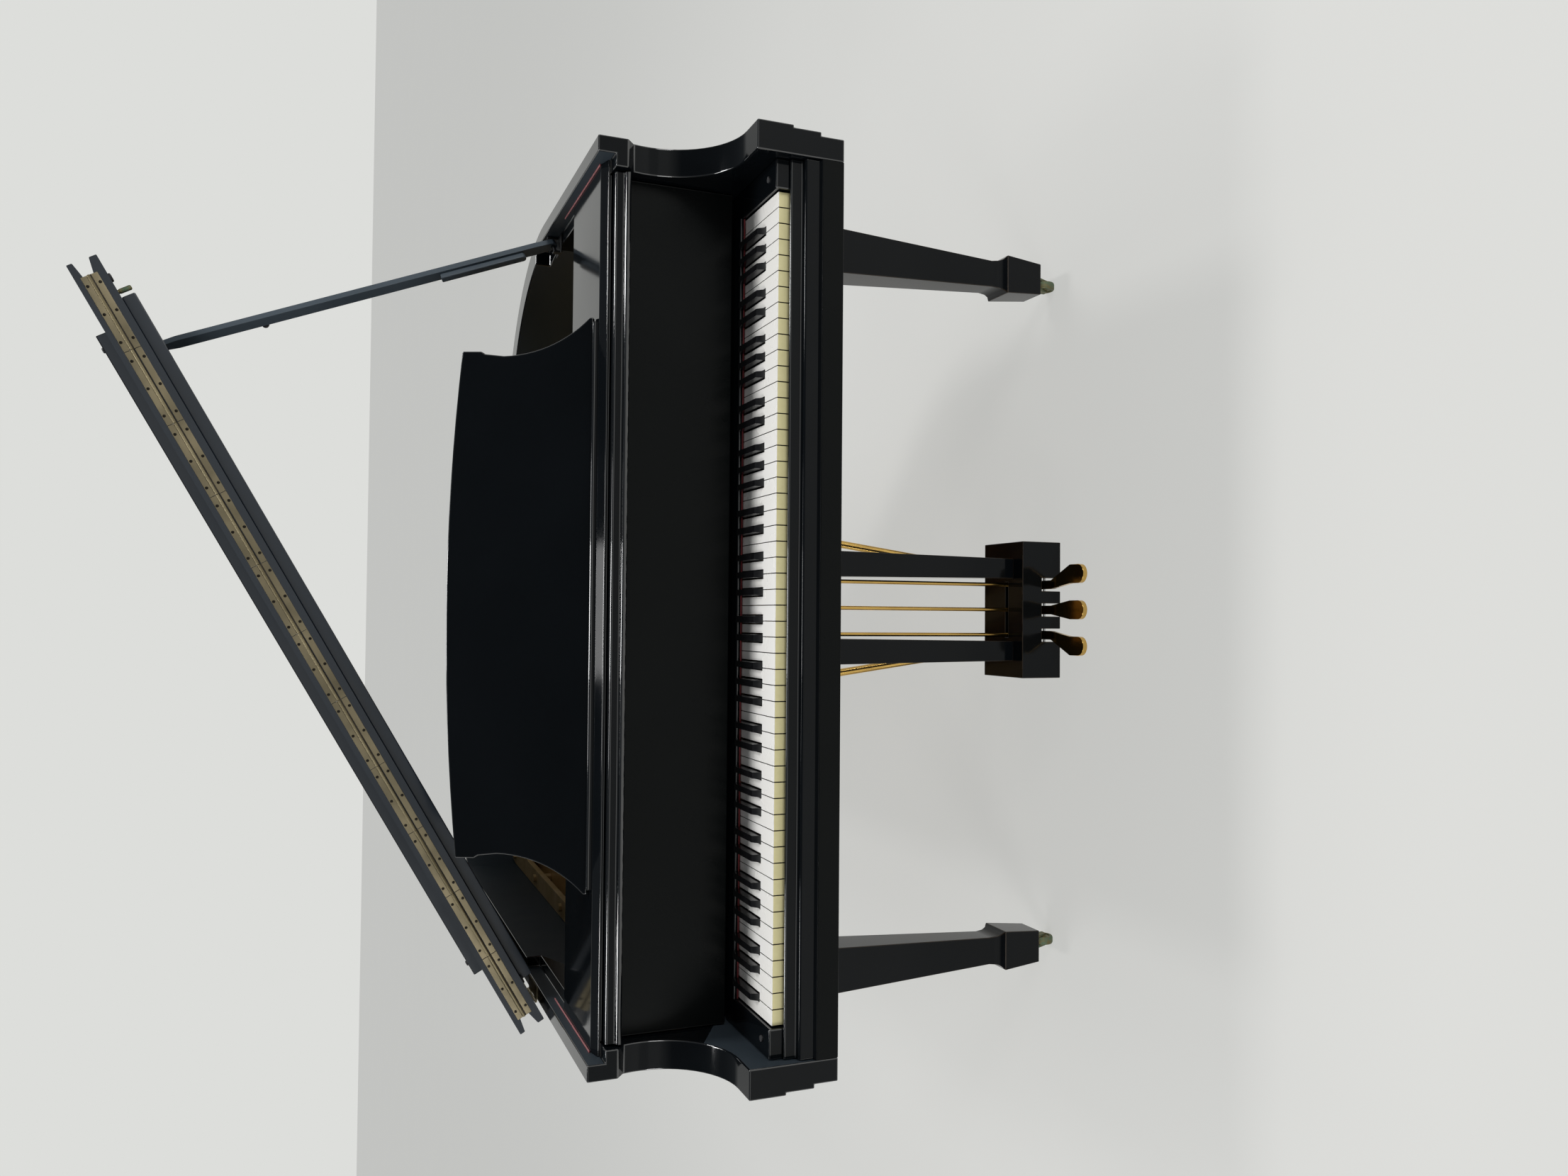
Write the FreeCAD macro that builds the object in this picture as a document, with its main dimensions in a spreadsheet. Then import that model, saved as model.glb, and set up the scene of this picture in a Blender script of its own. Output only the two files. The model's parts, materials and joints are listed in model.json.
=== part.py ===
import FreeCAD, Part
import math
import os
from collections import namedtuple

import Sketcher
from FreeCAD import Placement, Rotation, Vector

# A grand piano in millimetres. X runs to the treble side, Y away from the player and Z up. The origin
# lies on the floor under the middle of the keyboard, with Y = 0 at the front edge of the natural keys.

DIMENSIONS = {
    # Case outline
    "half_width": 704,
    "arm_thickness": 44,
    "arm_front": -30,
    "body_length": 1700,
    "side_straight_end": 560,
    "bend_radius": 430,
    "bend_angle": 52,
    "waist_radius": 800,
    "waist_angle": 30,
    "tail_radius": 330,
    "spine_radius": 180,
    # Case heights and the stepped base
    "rim_top": 976,
    "rim_bottom": 638,
    "base_step_top": 719,
    "base_step_low": 675,
    "base_inset_top": 4,
    "base_inset_low": 10,
    # Arms
    "rim_front": 116,
    "arm_top": 776,
    "scroll_radius": 117,
    "scroll_angle": 12,
    "scroll_nose": 12,
    "rabbet_depth": 27.5,
    "rabbet_width": 19,
    "rabbet_end": 640,
    # Inner frame
    "inner_rim_thickness": 46,
    "inner_rim_bottom": 650,
    "belly_front": 570,
    "belly_treble_front": 500,
    "belly_step_start": 370,
    "belly_step_end": 430,
    "belly_thickness": 40,
    "beam_width": 70,
    "beam_height": 95,
    # Soundboard, bridges and ribs
    "soundboard_seat": 815,
    "soundboard_thickness": 8,
    "rib_width": 24,
    "rib_height": 20,
    "bridge_width": 26,
    # Iron plate, pin block and strings
    "plate_seat": 846,
    "plate_thickness": 12,
    "plate_front": 238,
    "plate_play": 1.5,
    "bar_width": 12,
    "bar_clearance": 4,
    "bar_height": 28,
    "pin_block_thickness": 24,
    "pin_block_back": 400,
    "bolt_radius": 9,
    "string_height": 868,
    "bass_rise": 12,
    "pin_width": 5,
    "pin_height": 26,
    "wire_plain": 1.0,
    "wire_bass": 3.0,
    "seat_gap": 0.3,
    # String scale
    "strike_line": 470,
    "note_pitch": 12.35,
    "section_gap": 20.5,
    "bass_break": 80,
    "treble_length": 52,
    "tenor_length": 1000,
    "bass_length": 1120,
    "bass_top_length": 900,
    # Keybed, slip, blocks
    "keybed_thickness": 34,
    "keybed_depth": 470,
    "slip_front": -25,
    "slip_back": -8,
    "slip_top": 717,
    "slip_face": -14,
    "slip_step": 698,
    "slip_round": 4,
    "block_top": 738,
    "block_back": 182,
    "case_play": 0.5,
    "name_rail_front": 145,
    "name_rail_back": 176,
    "name_rail_bottom": 734,
    "name_rail_height": 6.5,
    "felt_thickness": 6,
    "stretcher_front": 196,
    "stretcher_thickness": 34,
    "stretcher_height": 74,
    # Keys
    "key_pitch": 23.6,
    "key_gap": 1.0,
    "key_top": 731,
    "key_thickness": 28,
    "key_head": 50,
    "key_length": 430,
    "key_nose": 3,
    "sharp_rise": 12,
    "sharp_end": 138,
    "sharp_side_gap": 1.2,
    "balance_line": 220,
    "balance_bead": 8,
    "frame_rail_height": 18,
    # Action
    "hammer_pivot_height": 800,
    "shank_length": 128,
    "shank_height": 6,
    "hammer_rise": 22,
    "hammer_width": 10,
    "damper_line": 525,
    "damper_length": 40,
    "damper_height": 16,
    "rail_depth": 40,
    "rail_height": 20,
    "bracket_thickness": 8,
    # Legs and casters
    "leg_top_width": 94,
    "leg_neck_width": 50,
    "leg_neck_height": 165,
    "foot_top_width": 72,
    "foot_top_height": 136,
    "foot_bottom_width": 59,
    "foot_bottom_height": 57.5,
    "front_leg_x": 643,
    "front_leg_y": 345,
    "rear_leg_x": -230,
    "rear_leg_y": 1400,
    "caster_radius": 22,
    "caster_width": 15,
    "caster_trail": 16,
    "caster_plate": 5,
    "caster_cheek": 4,
    "caster_stem_radius": 6,
    "caster_stem_length": 26,
    "caster_plate_width": 34,
    "axle_radius": 3.5,
    "running_gap": 0.4,
    # Lyre and pedals
    "lyre_y": 250,
    "lyre_depth": 46,
    "lyre_post_inner": 53,
    "lyre_post_width": 47,
    "lyre_post_low_width": 36,
    "pedal_box_half_width": 125,
    "pedal_box_depth": 130,
    "pedal_box_bottom": 78,
    "pedal_box_height": 82,
    "pedal_box_wall": 14,
    "pedal_spacing": 46.5,
    "pedal_splay": 18,
    "pedal_reach": 105,
    "pedal_width": 34,
    "pedal_neck": 16,
    "pedal_thickness": 9,
    "pedal_height": 104,
    "rod_radius": 3.5,
    "rod_clearance": 1.5,
    "rod_top": 650,
    "brace_radius": 7,
    "brace_head_y": 425,
    "pedal_axle_radius": 2.5,
    "pedal_pivot": 20,
    # Lid
    "lid_angle": 29.4,
    "lid_gap": 5,
    "lid_overhang": 12,
    "lid_thickness": 22,
    "lid_edge_step": 5,
    "lid_edge_height": 9,
    "fold_line": 454,
    "flap_depth": 362,
    "flap_gap": 7,
    "flap_lip": 20,
    "flap_lip_thickness": 20,
    "flap_lip_inset": 26,
    "hinge_offset": 2.2,
    "hinge_radius": 2.3,
    "hinge_leaf": 1.2,
    "hinge_length": 80,
    "hinge_leaf_width": 26,
    "flap_leaf_width": 12,
    "flap_knuckle": 2.6,
    "flap_hinge_inset": 24,
    "fold_offset": 1.5,
    "batten_width": 25,
    "batten_height": 21,
    "batten_setback": 21,
    "batten_inset": 62,
    # Prop
    "prop_x": 664,
    "prop_y": 545,
    "prop_lift": 14,
    "prop_top_x": 430,
    "prop_top_y": 640,
    "prop_width": 18,
    "prop_thickness": 12,
    "prop_crown": 1.6,
    "prop_fold_angle": 36,
    "prop_eye": 7.5,
    "prop_pin": 3,
    "prop_cheek": 4,
    "prop_plate": 3,
    "prop_reach": 17.5,
    "short_prop_length": 150,
    "short_prop_width": 12,
    "short_prop_start": 60,
    # Fallboard, tray and desk
    "fallboard_face": 160,
    "fallboard_thickness": 16,
    "fallboard_bottom": 747,
    "fallboard_top": 946,
    "fallboard_lip": 38,
    "fallboard_lip_height": 24,
    "fallboard_lip_round": 9,
    "fallboard_pivot_y": 172,
    "fallboard_pivot_z": 758,
    "fallboard_pin": 4,
    "fallboard_pin_length": 8,
    "tray_felt": 1.5,
    "tray_thickness": 10,
    "tray_front": 145,
    "tray_slope": 22,
    "tray_edge": 3,
    "tray_back": 365,
    "ledge_front": 173,
    "ledge_depth": 8,
    "ledge_height": 8,
    "ledge_half": 436,
    "desk_foot_y": 186,
    "desk_thickness": 10,
    "desk_lean": 24,
    "desk_half_foot": 445,
    "desk_half_waist": 385,
    "desk_half_top": 392,
    "desk_side_height": 205,
    "desk_top_rise": 20,
    "desk_pivot_height": 120,
    "stay_width": 40,
    "stay_thickness": 8,
    "stay_length": 125,
}

NOTES = 88
BASS_NOTES = 26
SINGLE_NOTES = 10
DAMPED_NOTES = 69
SECTION_STARTS = (26, 46, 64, 76)
SHARP_STEPS = (1, 4, 6, 9, 11)
TENOR_ANGLE = 10.0
TREBLE_ANGLE = 2.0
BASS_ANGLE = -14.0
PEDALS = ("left", "middle", "right")
LID_HINGES = (560, 960, 1380)
FLAP_KNUCKLES = 9
OUTER_STRINGS = 7.0
RIBS = 14
RIB_START = 215
STEM_SIDES = 12
TREAD_SIDES = 48
RIB_PITCH = 100
RIB_ANGLE = 38


class Size:
    """A number together with the sheet formula it comes from."""

    def __init__(self, value, text):
        self.value = value
        self.text = text

    @staticmethod
    def of(other):
        """Return other as a Size, a plain number becoming a constant."""
        if isinstance(other, Size):
            return other
        return Size(float(other), f"({float(other)})")

    def __add__(self, other):
        other = Size.of(other)
        return Size(self.value + other.value, f"({self.text} + {other.text})")

    def __sub__(self, other):
        other = Size.of(other)
        return Size(self.value - other.value, f"({self.text} - {other.text})")

    def __mul__(self, other):
        other = Size.of(other)
        return Size(self.value * other.value, f"({self.text} * {other.text})")

    def __truediv__(self, other):
        other = Size.of(other)
        return Size(self.value / other.value, f"({self.text} / {other.text})")

    def __neg__(self):
        return Size(-self.value, f"(0 - {self.text})")

    def __radd__(self, other):
        return Size.of(other) + self

    def __rsub__(self, other):
        return Size.of(other) - self

    def __rmul__(self, other):
        return Size.of(other) * self


class Dimensions:
    """The driving sizes, read by name as Size values."""

    def __init__(self, sheet, table):
        for row, (name, number) in enumerate(table.items(), start=1):
            sheet.set(f"A{row}", name)
            sheet.set(f"B{row}", str(number))
            sheet.setAlias(f"B{row}", name)
            setattr(self, name, Size(float(number), f"dims.{name}"))


Corner = namedtuple("Corner", "x y radius turn", defaults=(None, 1))

doc = FreeCAD.newDocument("grand_piano")
sheet = doc.addObject("Spreadsheet::Sheet", "dims")
d = Dimensions(sheet, DIMENSIONS)
doc.recompute()
nodes = []


def cosine(angle):
    """Cosine of an angle in degrees."""
    return Size(math.cos(math.radians(angle.value)), f"cos({angle.text} * 1 deg)")


def sine(angle):
    """Sine of an angle in degrees."""
    return Size(math.sin(math.radians(angle.value)), f"sin({angle.text} * 1 deg)")


def node(label, piece):
    """Keep a finished piece under the name of its file."""
    piece.Label = label
    nodes.append(piece)
    return piece


def bind(piece, **sizes):
    """Tie properties of a piece to sheet formulas."""
    for name, size in sizes.items():
        piece.setExpression(name, Size.of(size).text)


def settle(piece, x, y, z):
    """Tie the place of a piece to sheet formulas."""
    for axis, size in zip("xyz", (x, y, z)):
        piece.setExpression(f"Placement.Base.{axis}", Size.of(size).text)


def box(x0, x1, y0, y1, z0, z1):
    """A block between two corners."""
    piece = doc.addObject("Part::Box", "Block")
    x0, y0, z0 = Size.of(x0), Size.of(y0), Size.of(z0)
    bind(piece, Length=x1 - x0, Width=y1 - y0, Height=z1 - z0)
    settle(piece, x0, y0, z0)
    return piece


ALONG_X = Rotation(Vector(0, 1, 0), 90)
ALONG_Y = Rotation(Vector(1, 0, 0), -90)


def bar(x, y, z, radius, length, rotation, sides=8):
    """A slim many-sided bar that starts at a point and runs along the turned Z axis."""
    piece = doc.addObject("Part::Prism", "Bar")
    piece.Polygon = sides
    piece.Placement = Placement(Vector(), rotation)
    bind(piece, Circumradius=radius, Height=length)
    settle(piece, x, y, z)
    return piece


def clear_of(radius, sides=8):
    """Corner radius of a many-sided hole that leaves the running gap round a bar."""
    return (radius + d.running_gap) / math.cos(math.pi / sides)


def join(kind, *pieces):
    """Combine pieces with a Part operation that takes a list."""
    piece = doc.addObject(kind, "Joined")
    if kind == "Part::Compound":
        piece.Links = list(pieces)
    else:
        piece.Shapes = list(pieces)
    return piece


def cut(base, tool):
    """Take one piece out of another."""
    piece = doc.addObject("Part::Cut", "Cut")
    piece.Base = base
    piece.Tool = tool
    return piece


def feature(label, solids, place=Placement()):
    """A node of one or many solids made by formula."""
    piece = doc.addObject("Part::Feature", label)
    piece.Shape = solids[0] if len(solids) == 1 else Part.makeCompound(solids)
    piece.Placement = place
    return node(label, piece)


def new_body(label, place=Placement()):
    """An empty body that becomes a node."""
    body = doc.addObject("PartDesign::Body", label)
    body.Placement = place
    return node(label, body)


def arc_centre(start, end, radius, turn):
    """Centre of the short arc between two corners; turn is 1 for a left bend."""
    mid = ((start[0] + end[0]) / 2, (start[1] + end[1]) / 2)
    run = (end[0] - start[0], end[1] - start[1])
    chord = math.hypot(*run)
    rise = turn * math.sqrt(max(radius * radius - chord * chord / 4, 0.0)) / chord
    return mid[0] - run[1] * rise, mid[1] + run[0] * rise


def draw(sketch, loop):
    """Draw one closed loop of lines and arcs and tie its corners to the sheet."""
    spots = [(Size.of(c.x), Size.of(c.y)) for c in loop]
    ends = []
    for index, corner in enumerate(loop):
        start = tuple(size.value for size in spots[index - 1])
        end = tuple(size.value for size in spots[index])
        if corner.radius is None:
            line = Part.LineSegment(Vector(*start, 0), Vector(*end, 0))
            ends.append((sketch.addGeometry(line), 1, 2))
            continue
        radius = Size.of(corner.radius)
        cx, cy = arc_centre(start, end, radius.value, corner.turn)
        first, last = (start, end) if corner.turn > 0 else (end, start)
        angles = [math.atan2(p[1] - cy, p[0] - cx) for p in (first, last)]
        circle = Part.Circle(Vector(cx, cy, 0), Vector(0, 0, 1), radius.value)
        geo = sketch.addGeometry(Part.ArcOfCircle(circle, *angles))
        ends.append((geo, 1, 2) if corner.turn > 0 else (geo, 2, 1))
        pin(sketch, Sketcher.Constraint("Radius", geo, radius.value), radius)
    for index, (geo, _, stop) in enumerate(ends):
        after = ends[(index + 1) % len(ends)]
        sketch.addConstraint(Sketcher.Constraint("Coincident", geo, stop, after[0], after[1]))
        for kind, size in zip(("DistanceX", "DistanceY"), spots[index]):
            pin(sketch, Sketcher.Constraint(kind, -1, 1, geo, stop, size.value), size)


def pin(sketch, constraint, size):
    """Add a measured constraint and tie it to the sheet where it has a formula."""
    number = sketch.addConstraint(constraint)
    if "dims." in size.text:
        sketch.setExpression(f"Constraints[{number}]", size.text)


def sketch_on(body, role, height, *loops):
    """A sketch of closed loops on an origin plane, raised by a height."""
    sketch = body.newObject("Sketcher::SketchObject", "Sketch")
    plane = next(item for item in body.Origin.OriginFeatures if item.Role == role)
    sketch.AttachmentSupport = [(plane, "")]
    sketch.MapMode = "FlatFace"
    sketch.setExpression("AttachmentOffset.Base.z", Size.of(height).text)
    for loop in loops:
        draw(sketch, loop)
    return sketch


def pad(body, role, low, high, *loops):
    """Raise loops from one height to another."""
    low = Size.of(low)
    sketch = sketch_on(body, role, low, *loops)
    raised = body.newObject("PartDesign::Pad", "Pad")
    raised.Profile = sketch
    bind(raised, Length=high - low)
    return raised


def pocket(body, role, low, high, *loops):
    """Cut loops out between two heights."""
    low = Size.of(low)
    sketch = sketch_on(body, role, low, *loops)
    sunk = body.newObject("PartDesign::Pocket", "Pocket")
    sunk.Profile = sketch
    sunk.Reversed = True
    bind(sunk, Length=high - low)
    return sunk


def rectangle(x0, x1, y0, y1):
    """Four corners of an upright rectangle."""
    return [Corner(x0, y0), Corner(x1, y0), Corner(x1, y1), Corner(x0, y1)]


def many_sided(x, y, radius, sides=8):
    """A regular polygon about a point."""
    turns = [math.tau * k / sides for k in range(sides)]
    return [Corner(x + radius * math.cos(turn), y + radius * math.sin(turn)) for turn in turns]


def case_side(inset):
    """The plan of the case from the treble side round the tail to the spine, moved in by an inset."""
    tail_end = d.arm_front + d.body_length
    cos_bend, sin_bend = cosine(d.bend_angle), sine(d.bend_angle)
    rest = d.bend_angle - d.waist_angle
    cos_rest, sin_rest = cosine(rest), sine(rest)
    bend = (d.half_width - d.bend_radius, d.side_straight_end)
    reach = d.bend_radius + d.waist_radius
    waist = (bend[0] + reach * cos_bend, bend[1] + reach * sin_bend)
    tail_start_y = tail_end - d.tail_radius + d.tail_radius * sin_rest
    waist_end = (waist[0] - d.waist_radius * cos_rest, waist[1] - d.waist_radius * sin_rest)
    run = (tail_start_y - waist_end[1]) / cos_rest
    tail = (waist_end[0] - run * sin_rest - d.tail_radius * cos_rest, tail_end - d.tail_radius)
    bend_inner = d.bend_radius - inset
    waist_inner = d.waist_radius + inset
    tail_inner = d.tail_radius - inset
    return [
        Corner(d.half_width - inset, d.side_straight_end),
        Corner(bend[0] + bend_inner * cos_bend, bend[1] + bend_inner * sin_bend, bend_inner),
        Corner(waist[0] - waist_inner * cos_rest, waist[1] - waist_inner * sin_rest, waist_inner, -1),
        Corner(tail[0] + tail_inner * cos_rest, tail[1] + tail_inner * sin_rest),
        Corner(tail[0], tail_end - inset, tail_inner),
        Corner(d.spine_radius - d.half_width, tail_end - inset),
        Corner(inset - d.half_width, tail_end - d.spine_radius, d.spine_radius - inset),
    ]


def case_loop(inset, front):
    """The closed plan of the case behind a front made of corners from the spine to the treble."""
    return list(front) + case_side(Size.of(inset))


def straight_front(inset, line):
    """A straight front edge across the case."""
    return [Corner(inset - d.half_width, line), Corner(d.half_width - inset, line)]


def case_band(outer, inner, line):
    """A U-shaped band that follows the case from one inset to another."""
    outer, inner = Size.of(outer), Size.of(inner)
    path = [Corner(d.half_width - outer, line)] + case_side(outer) + [Corner(outer - d.half_width, line)]
    back = [Corner(d.half_width - inner, line)] + case_side(inner) + [Corner(inner - d.half_width, line)]
    return path + reverse(back)


def reverse(path):
    """The same path walked from its last corner to its first."""
    turned = []
    for index in range(len(path) - 1, -1, -1):
        after = path[index + 1] if index + 1 < len(path) else Corner(0, 0)
        turned.append(Corner(path[index].x, path[index].y, after.radius, -after.turn))
    return turned


def note_x(note):
    """Place of a note across the strings, with wider breaks between sections."""
    gaps = [d.bass_break.value] + [d.section_gap.value] * (len(SECTION_STARTS) - 1)
    before = sum(gap for gap, start in zip(gaps, SECTION_STARTS) if note >= start)
    span = d.note_pitch.value * (NOTES - 1) + sum(gaps)
    return d.note_pitch.value * note + before - span / 2


def note_length(note):
    """Speaking length of a note."""
    if note < BASS_NOTES:
        share = note / (BASS_NOTES - 1)
        return d.bass_length.value + (d.bass_top_length.value - d.bass_length.value) * share
    share = (NOTES - 1 - note) / (NOTES - 1 - BASS_NOTES)
    return d.treble_length.value * (d.tenor_length.value / d.treble_length.value) ** share


def note_angle(note):
    """Lean of a note's strings towards the spine, in degrees."""
    if note < BASS_NOTES:
        return BASS_ANGLE
    share = (NOTES - 1 - note) / (NOTES - 1 - BASS_NOTES)
    return TREBLE_ANGLE + (TENOR_ANGLE - TREBLE_ANGLE) * share


def along_string(note, distance, aside=0.0):
    """Plan point at a distance behind the front end of a note's speaking length, or beside that line."""
    lean = math.radians(note_angle(note))
    front = d.strike_line.value - 10 - note_length(note) / 9.5
    x = note_x(note) - distance * math.sin(lean) + aside * math.cos(lean)
    return x, front + distance * math.cos(lean) + aside * math.sin(lean)


def along_run(notes, distance):
    """Plan points behind the front ends of several notes, with the outermost moved past their strings."""
    asides = [0.0] * len(notes)
    asides[0] = math.copysign(OUTER_STRINGS, notes[0] - notes[-1])
    asides[-1] = -asides[0]
    return [along_string(note, distance, aside) for note, aside in zip(notes, asides)]


def crossing(note, line):
    """Place across the case where a note's middle string crosses a line."""
    x, front = along_string(note, 0)
    return x - (line.value - front) * math.tan(math.radians(note_angle(note)))


def is_sharp(note):
    """True for the black keys, counted from the lowest A."""
    return note % 12 in SHARP_STEPS


def flat_prism(points, low, high):
    """A solid that stands on a plan polygon."""
    ring = [Vector(x, y, low) for x, y in points]
    return Part.Face(Part.makePolygon(ring + ring[:1])).extrude(Vector(0, 0, high - low))


def side_prism(points, x0, x1):
    """A solid that runs across X from a side-view polygon."""
    ring = [Vector(x0, y, z) for y, z in points]
    return Part.Face(Part.makePolygon(ring + ring[:1])).extrude(Vector(x1 - x0, 0, 0))


def make_case():
    """Outer rim with its arms, inner rim, belly rail and beams."""
    steps = (
        (d.base_step_top, d.rim_top, 0),
        (d.base_step_low, d.base_step_top, d.base_inset_top),
        (d.rim_bottom, d.base_step_low, d.base_inset_low),
    )
    rim = new_body("outer_rim")
    for low, high, inset in steps:
        pad(rim, "XY_Plane", low, high, case_band(inset, d.arm_thickness, d.arm_front))
    centre = (d.rim_front + d.scroll_nose + 6 - d.scroll_radius, d.arm_top + d.scroll_radius)
    nose = (centre[0] + d.scroll_radius * cosine(d.scroll_angle),
            centre[1] + d.scroll_radius * sine(d.scroll_angle))
    margin = 20
    scroll = [
        Corner(d.arm_front - margin, d.arm_top),
        Corner(centre[0], d.arm_top),
        Corner(nose[0], nose[1], d.scroll_radius),
        Corner(d.rim_front, nose[1] + d.scroll_nose),
        Corner(d.rim_front, d.rim_top + margin),
        Corner(d.arm_front - margin, d.rim_top + margin),
    ]
    pocket(rim, "YZ_Plane", -d.half_width - margin, d.half_width + margin, scroll)
    ledge = rectangle(d.rim_front - margin, d.rabbet_end, d.rim_top - d.rabbet_depth, d.rim_top + margin)
    reach = d.half_width - d.arm_thickness + d.rabbet_width
    pocket(rim, "YZ_Plane", -reach, reach, ledge)
    hole = many_sided(d.fallboard_pivot_y, d.fallboard_pivot_z, clear_of(d.fallboard_pin))
    depth = d.half_width - d.arm_thickness + d.fallboard_pin_length + 2
    pocket(rim, "YZ_Plane", -depth, depth, hole)

    inner = new_body("inner_rim")
    far = d.arm_thickness + d.inner_rim_thickness
    pad(inner, "XY_Plane", d.inner_rim_bottom, d.soundboard_seat,
        case_band(d.arm_thickness, far, d.belly_treble_front))

    frame = new_body("bracing_beams")
    inside = d.half_width - far
    back = d.belly_front + d.belly_thickness
    step = d.belly_front - d.belly_treble_front
    belly = [
        Corner(-inside, d.belly_front), Corner(d.belly_step_start, d.belly_front),
        Corner(d.belly_step_end, d.belly_treble_front), Corner(inside, d.belly_treble_front),
        Corner(inside, back - step), Corner(d.belly_step_end, back - step),
        Corner(d.belly_step_start, back), Corner(-inside, back),
    ]
    pad(frame, "XY_Plane", d.inner_rim_bottom, d.soundboard_seat, belly)
    top = d.rim_bottom + d.beam_height
    far_end = d.arm_front + d.body_length - d.arm_thickness - d.inner_rim_thickness
    for start_x, end_x in ((-420, -420), (-150, -260), (120, -150)):
        beam = [
            Corner(start_x, d.belly_front + 10), Corner(start_x + d.beam_width, d.belly_front + 10),
            Corner(end_x + d.beam_width, far_end - 3), Corner(end_x, far_end - 3),
        ]
        pad(frame, "XY_Plane", d.rim_bottom, top, beam)


def make_soundboard():
    """Soundboard, its ribs and the two bridges."""
    half = d.half_width - d.arm_thickness
    front = [
        Corner(-half, d.belly_front), Corner(d.belly_step_start, d.belly_front),
        Corner(d.belly_step_end, d.belly_treble_front), Corner(half, d.belly_treble_front),
    ]
    board = new_body("soundboard")
    top = d.soundboard_seat + d.soundboard_thickness
    pad(board, "XY_Plane", d.soundboard_seat, top, case_loop(d.arm_thickness, front))

    rib_low = d.soundboard_seat - d.rib_height
    trim = doc.addObject("PartDesign::Body", "RibTrim")
    far = d.arm_thickness + d.inner_rim_thickness
    behind = d.belly_front + d.belly_thickness
    pad(trim, "XY_Plane", rib_low, d.soundboard_seat, case_loop(far, straight_front(far, behind)))
    bars = []
    turn = Rotation(Vector(0, 0, 1), RIB_ANGLE)
    for index in range(RIBS):
        start = turn.multVec(Vector(-d.body_length.value, RIB_START + RIB_PITCH * index, 0))
        rib = doc.addObject("Part::Box", "Rib")
        bind(rib, Length=d.body_length * 2, Width=d.rib_width, Height=d.rib_height)
        rib.Placement = Placement(start, turn)
        rib.setExpression("Placement.Base.z", rib_low.text)
        bars.append(rib)
    ribs = doc.addObject("Part::Common", "Ribs")
    ribs.Base = join("Part::Compound", *bars)
    ribs.Tool = trim
    node("soundboard_ribs", ribs)

    solids = [
        bridge((87, 70, 52, 36, 26), top.value, d.string_height.value, d.wire_plain.value),
        bridge((25, 0), top.value, d.string_height.value + d.bass_rise.value, d.wire_bass.value),
    ]
    feature("string_bridges", solids)


def bridge(notes, low, strings, gauge):
    """A bridge that follows the rear ends of a few notes, with its top just under the strings."""
    half = d.bridge_width.value / 2
    sides = []
    for side in (-half, half):
        asides = [along_run(notes, note_length(note) + side)[k] for k, note in enumerate(notes)]
        points = [Vector(*point, low) for point in asides]
        if len(points) == 2:
            sides.append([Part.makeLine(*points)])
        else:
            sides.append([Part.Arc(*points[k:k + 3]).toShape() for k in range(0, len(points) - 2, 2)])
    near, far = sides
    ends = [Part.makeLine(near[k].Vertexes[k].Point, far[k].Vertexes[k].Point) for k in (0, -1)]
    wire = Part.Wire(Part.__sortEdges__(near + far + ends))
    height = strings - gauge / 2 - d.seat_gap.value - low
    return Part.Face(wire).extrude(Vector(0, 0, height))


def string_set(note):
    """Sideways offsets of the strings of one note."""
    if note < SINGLE_NOTES:
        return (0.0,)
    if note < BASS_NOTES:
        return (-3.0, 3.0)
    return (-4.0, 0.0, 4.0)


def wire_bar(start, end, gauge):
    """A straight string as a slim three-sided prism."""
    run = end - start
    across = Vector(-run.y, run.x, 0).normalize() * (gauge / 2)
    up = Vector(0, 0, gauge / 2)
    ring = [start - across - up, start + across - up, start + up]
    return Part.Face(Part.makePolygon(ring + ring[:1])).extrude(run)


def make_strings():
    """Strings from hitch to tuning pin, and the pins."""
    plain, bass, pins = [], [], []
    half_pin = d.pin_width.value / 2
    plate_top = d.plate_seat.value + d.plate_thickness.value
    for note in range(NOTES):
        low = note < BASS_NOTES
        height = d.string_height.value + (d.bass_rise.value if low else 0.0)
        gauge = d.wire_bass.value if low else d.wire_plain.value
        lean = math.radians(note_angle(note))
        for row, side in enumerate(string_set(note)):
            shift = Vector(side * math.cos(lean), side * math.sin(lean), 0)
            front = Vector(*along_string(note, -56 - 22 * row - 11 * (note % 2)), height) + shift
            rear = Vector(*along_string(note, note_length(note) + 62), height) + shift
            (bass if low else plain).append(wire_bar(front, rear, gauge))
            if row:
                continue
            x, y = front.x, front.y - half_pin - d.seat_gap.value
            ring = [(x - half_pin, y - half_pin), (x + half_pin, y - half_pin), (x, y + half_pin)]
            pins.append(flat_prism(ring, plate_top, height + d.pin_height.value / 2))
    feature("plain_strings", plain)
    feature("bass_strings", bass)
    feature("tuning_pins", pins)


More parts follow.
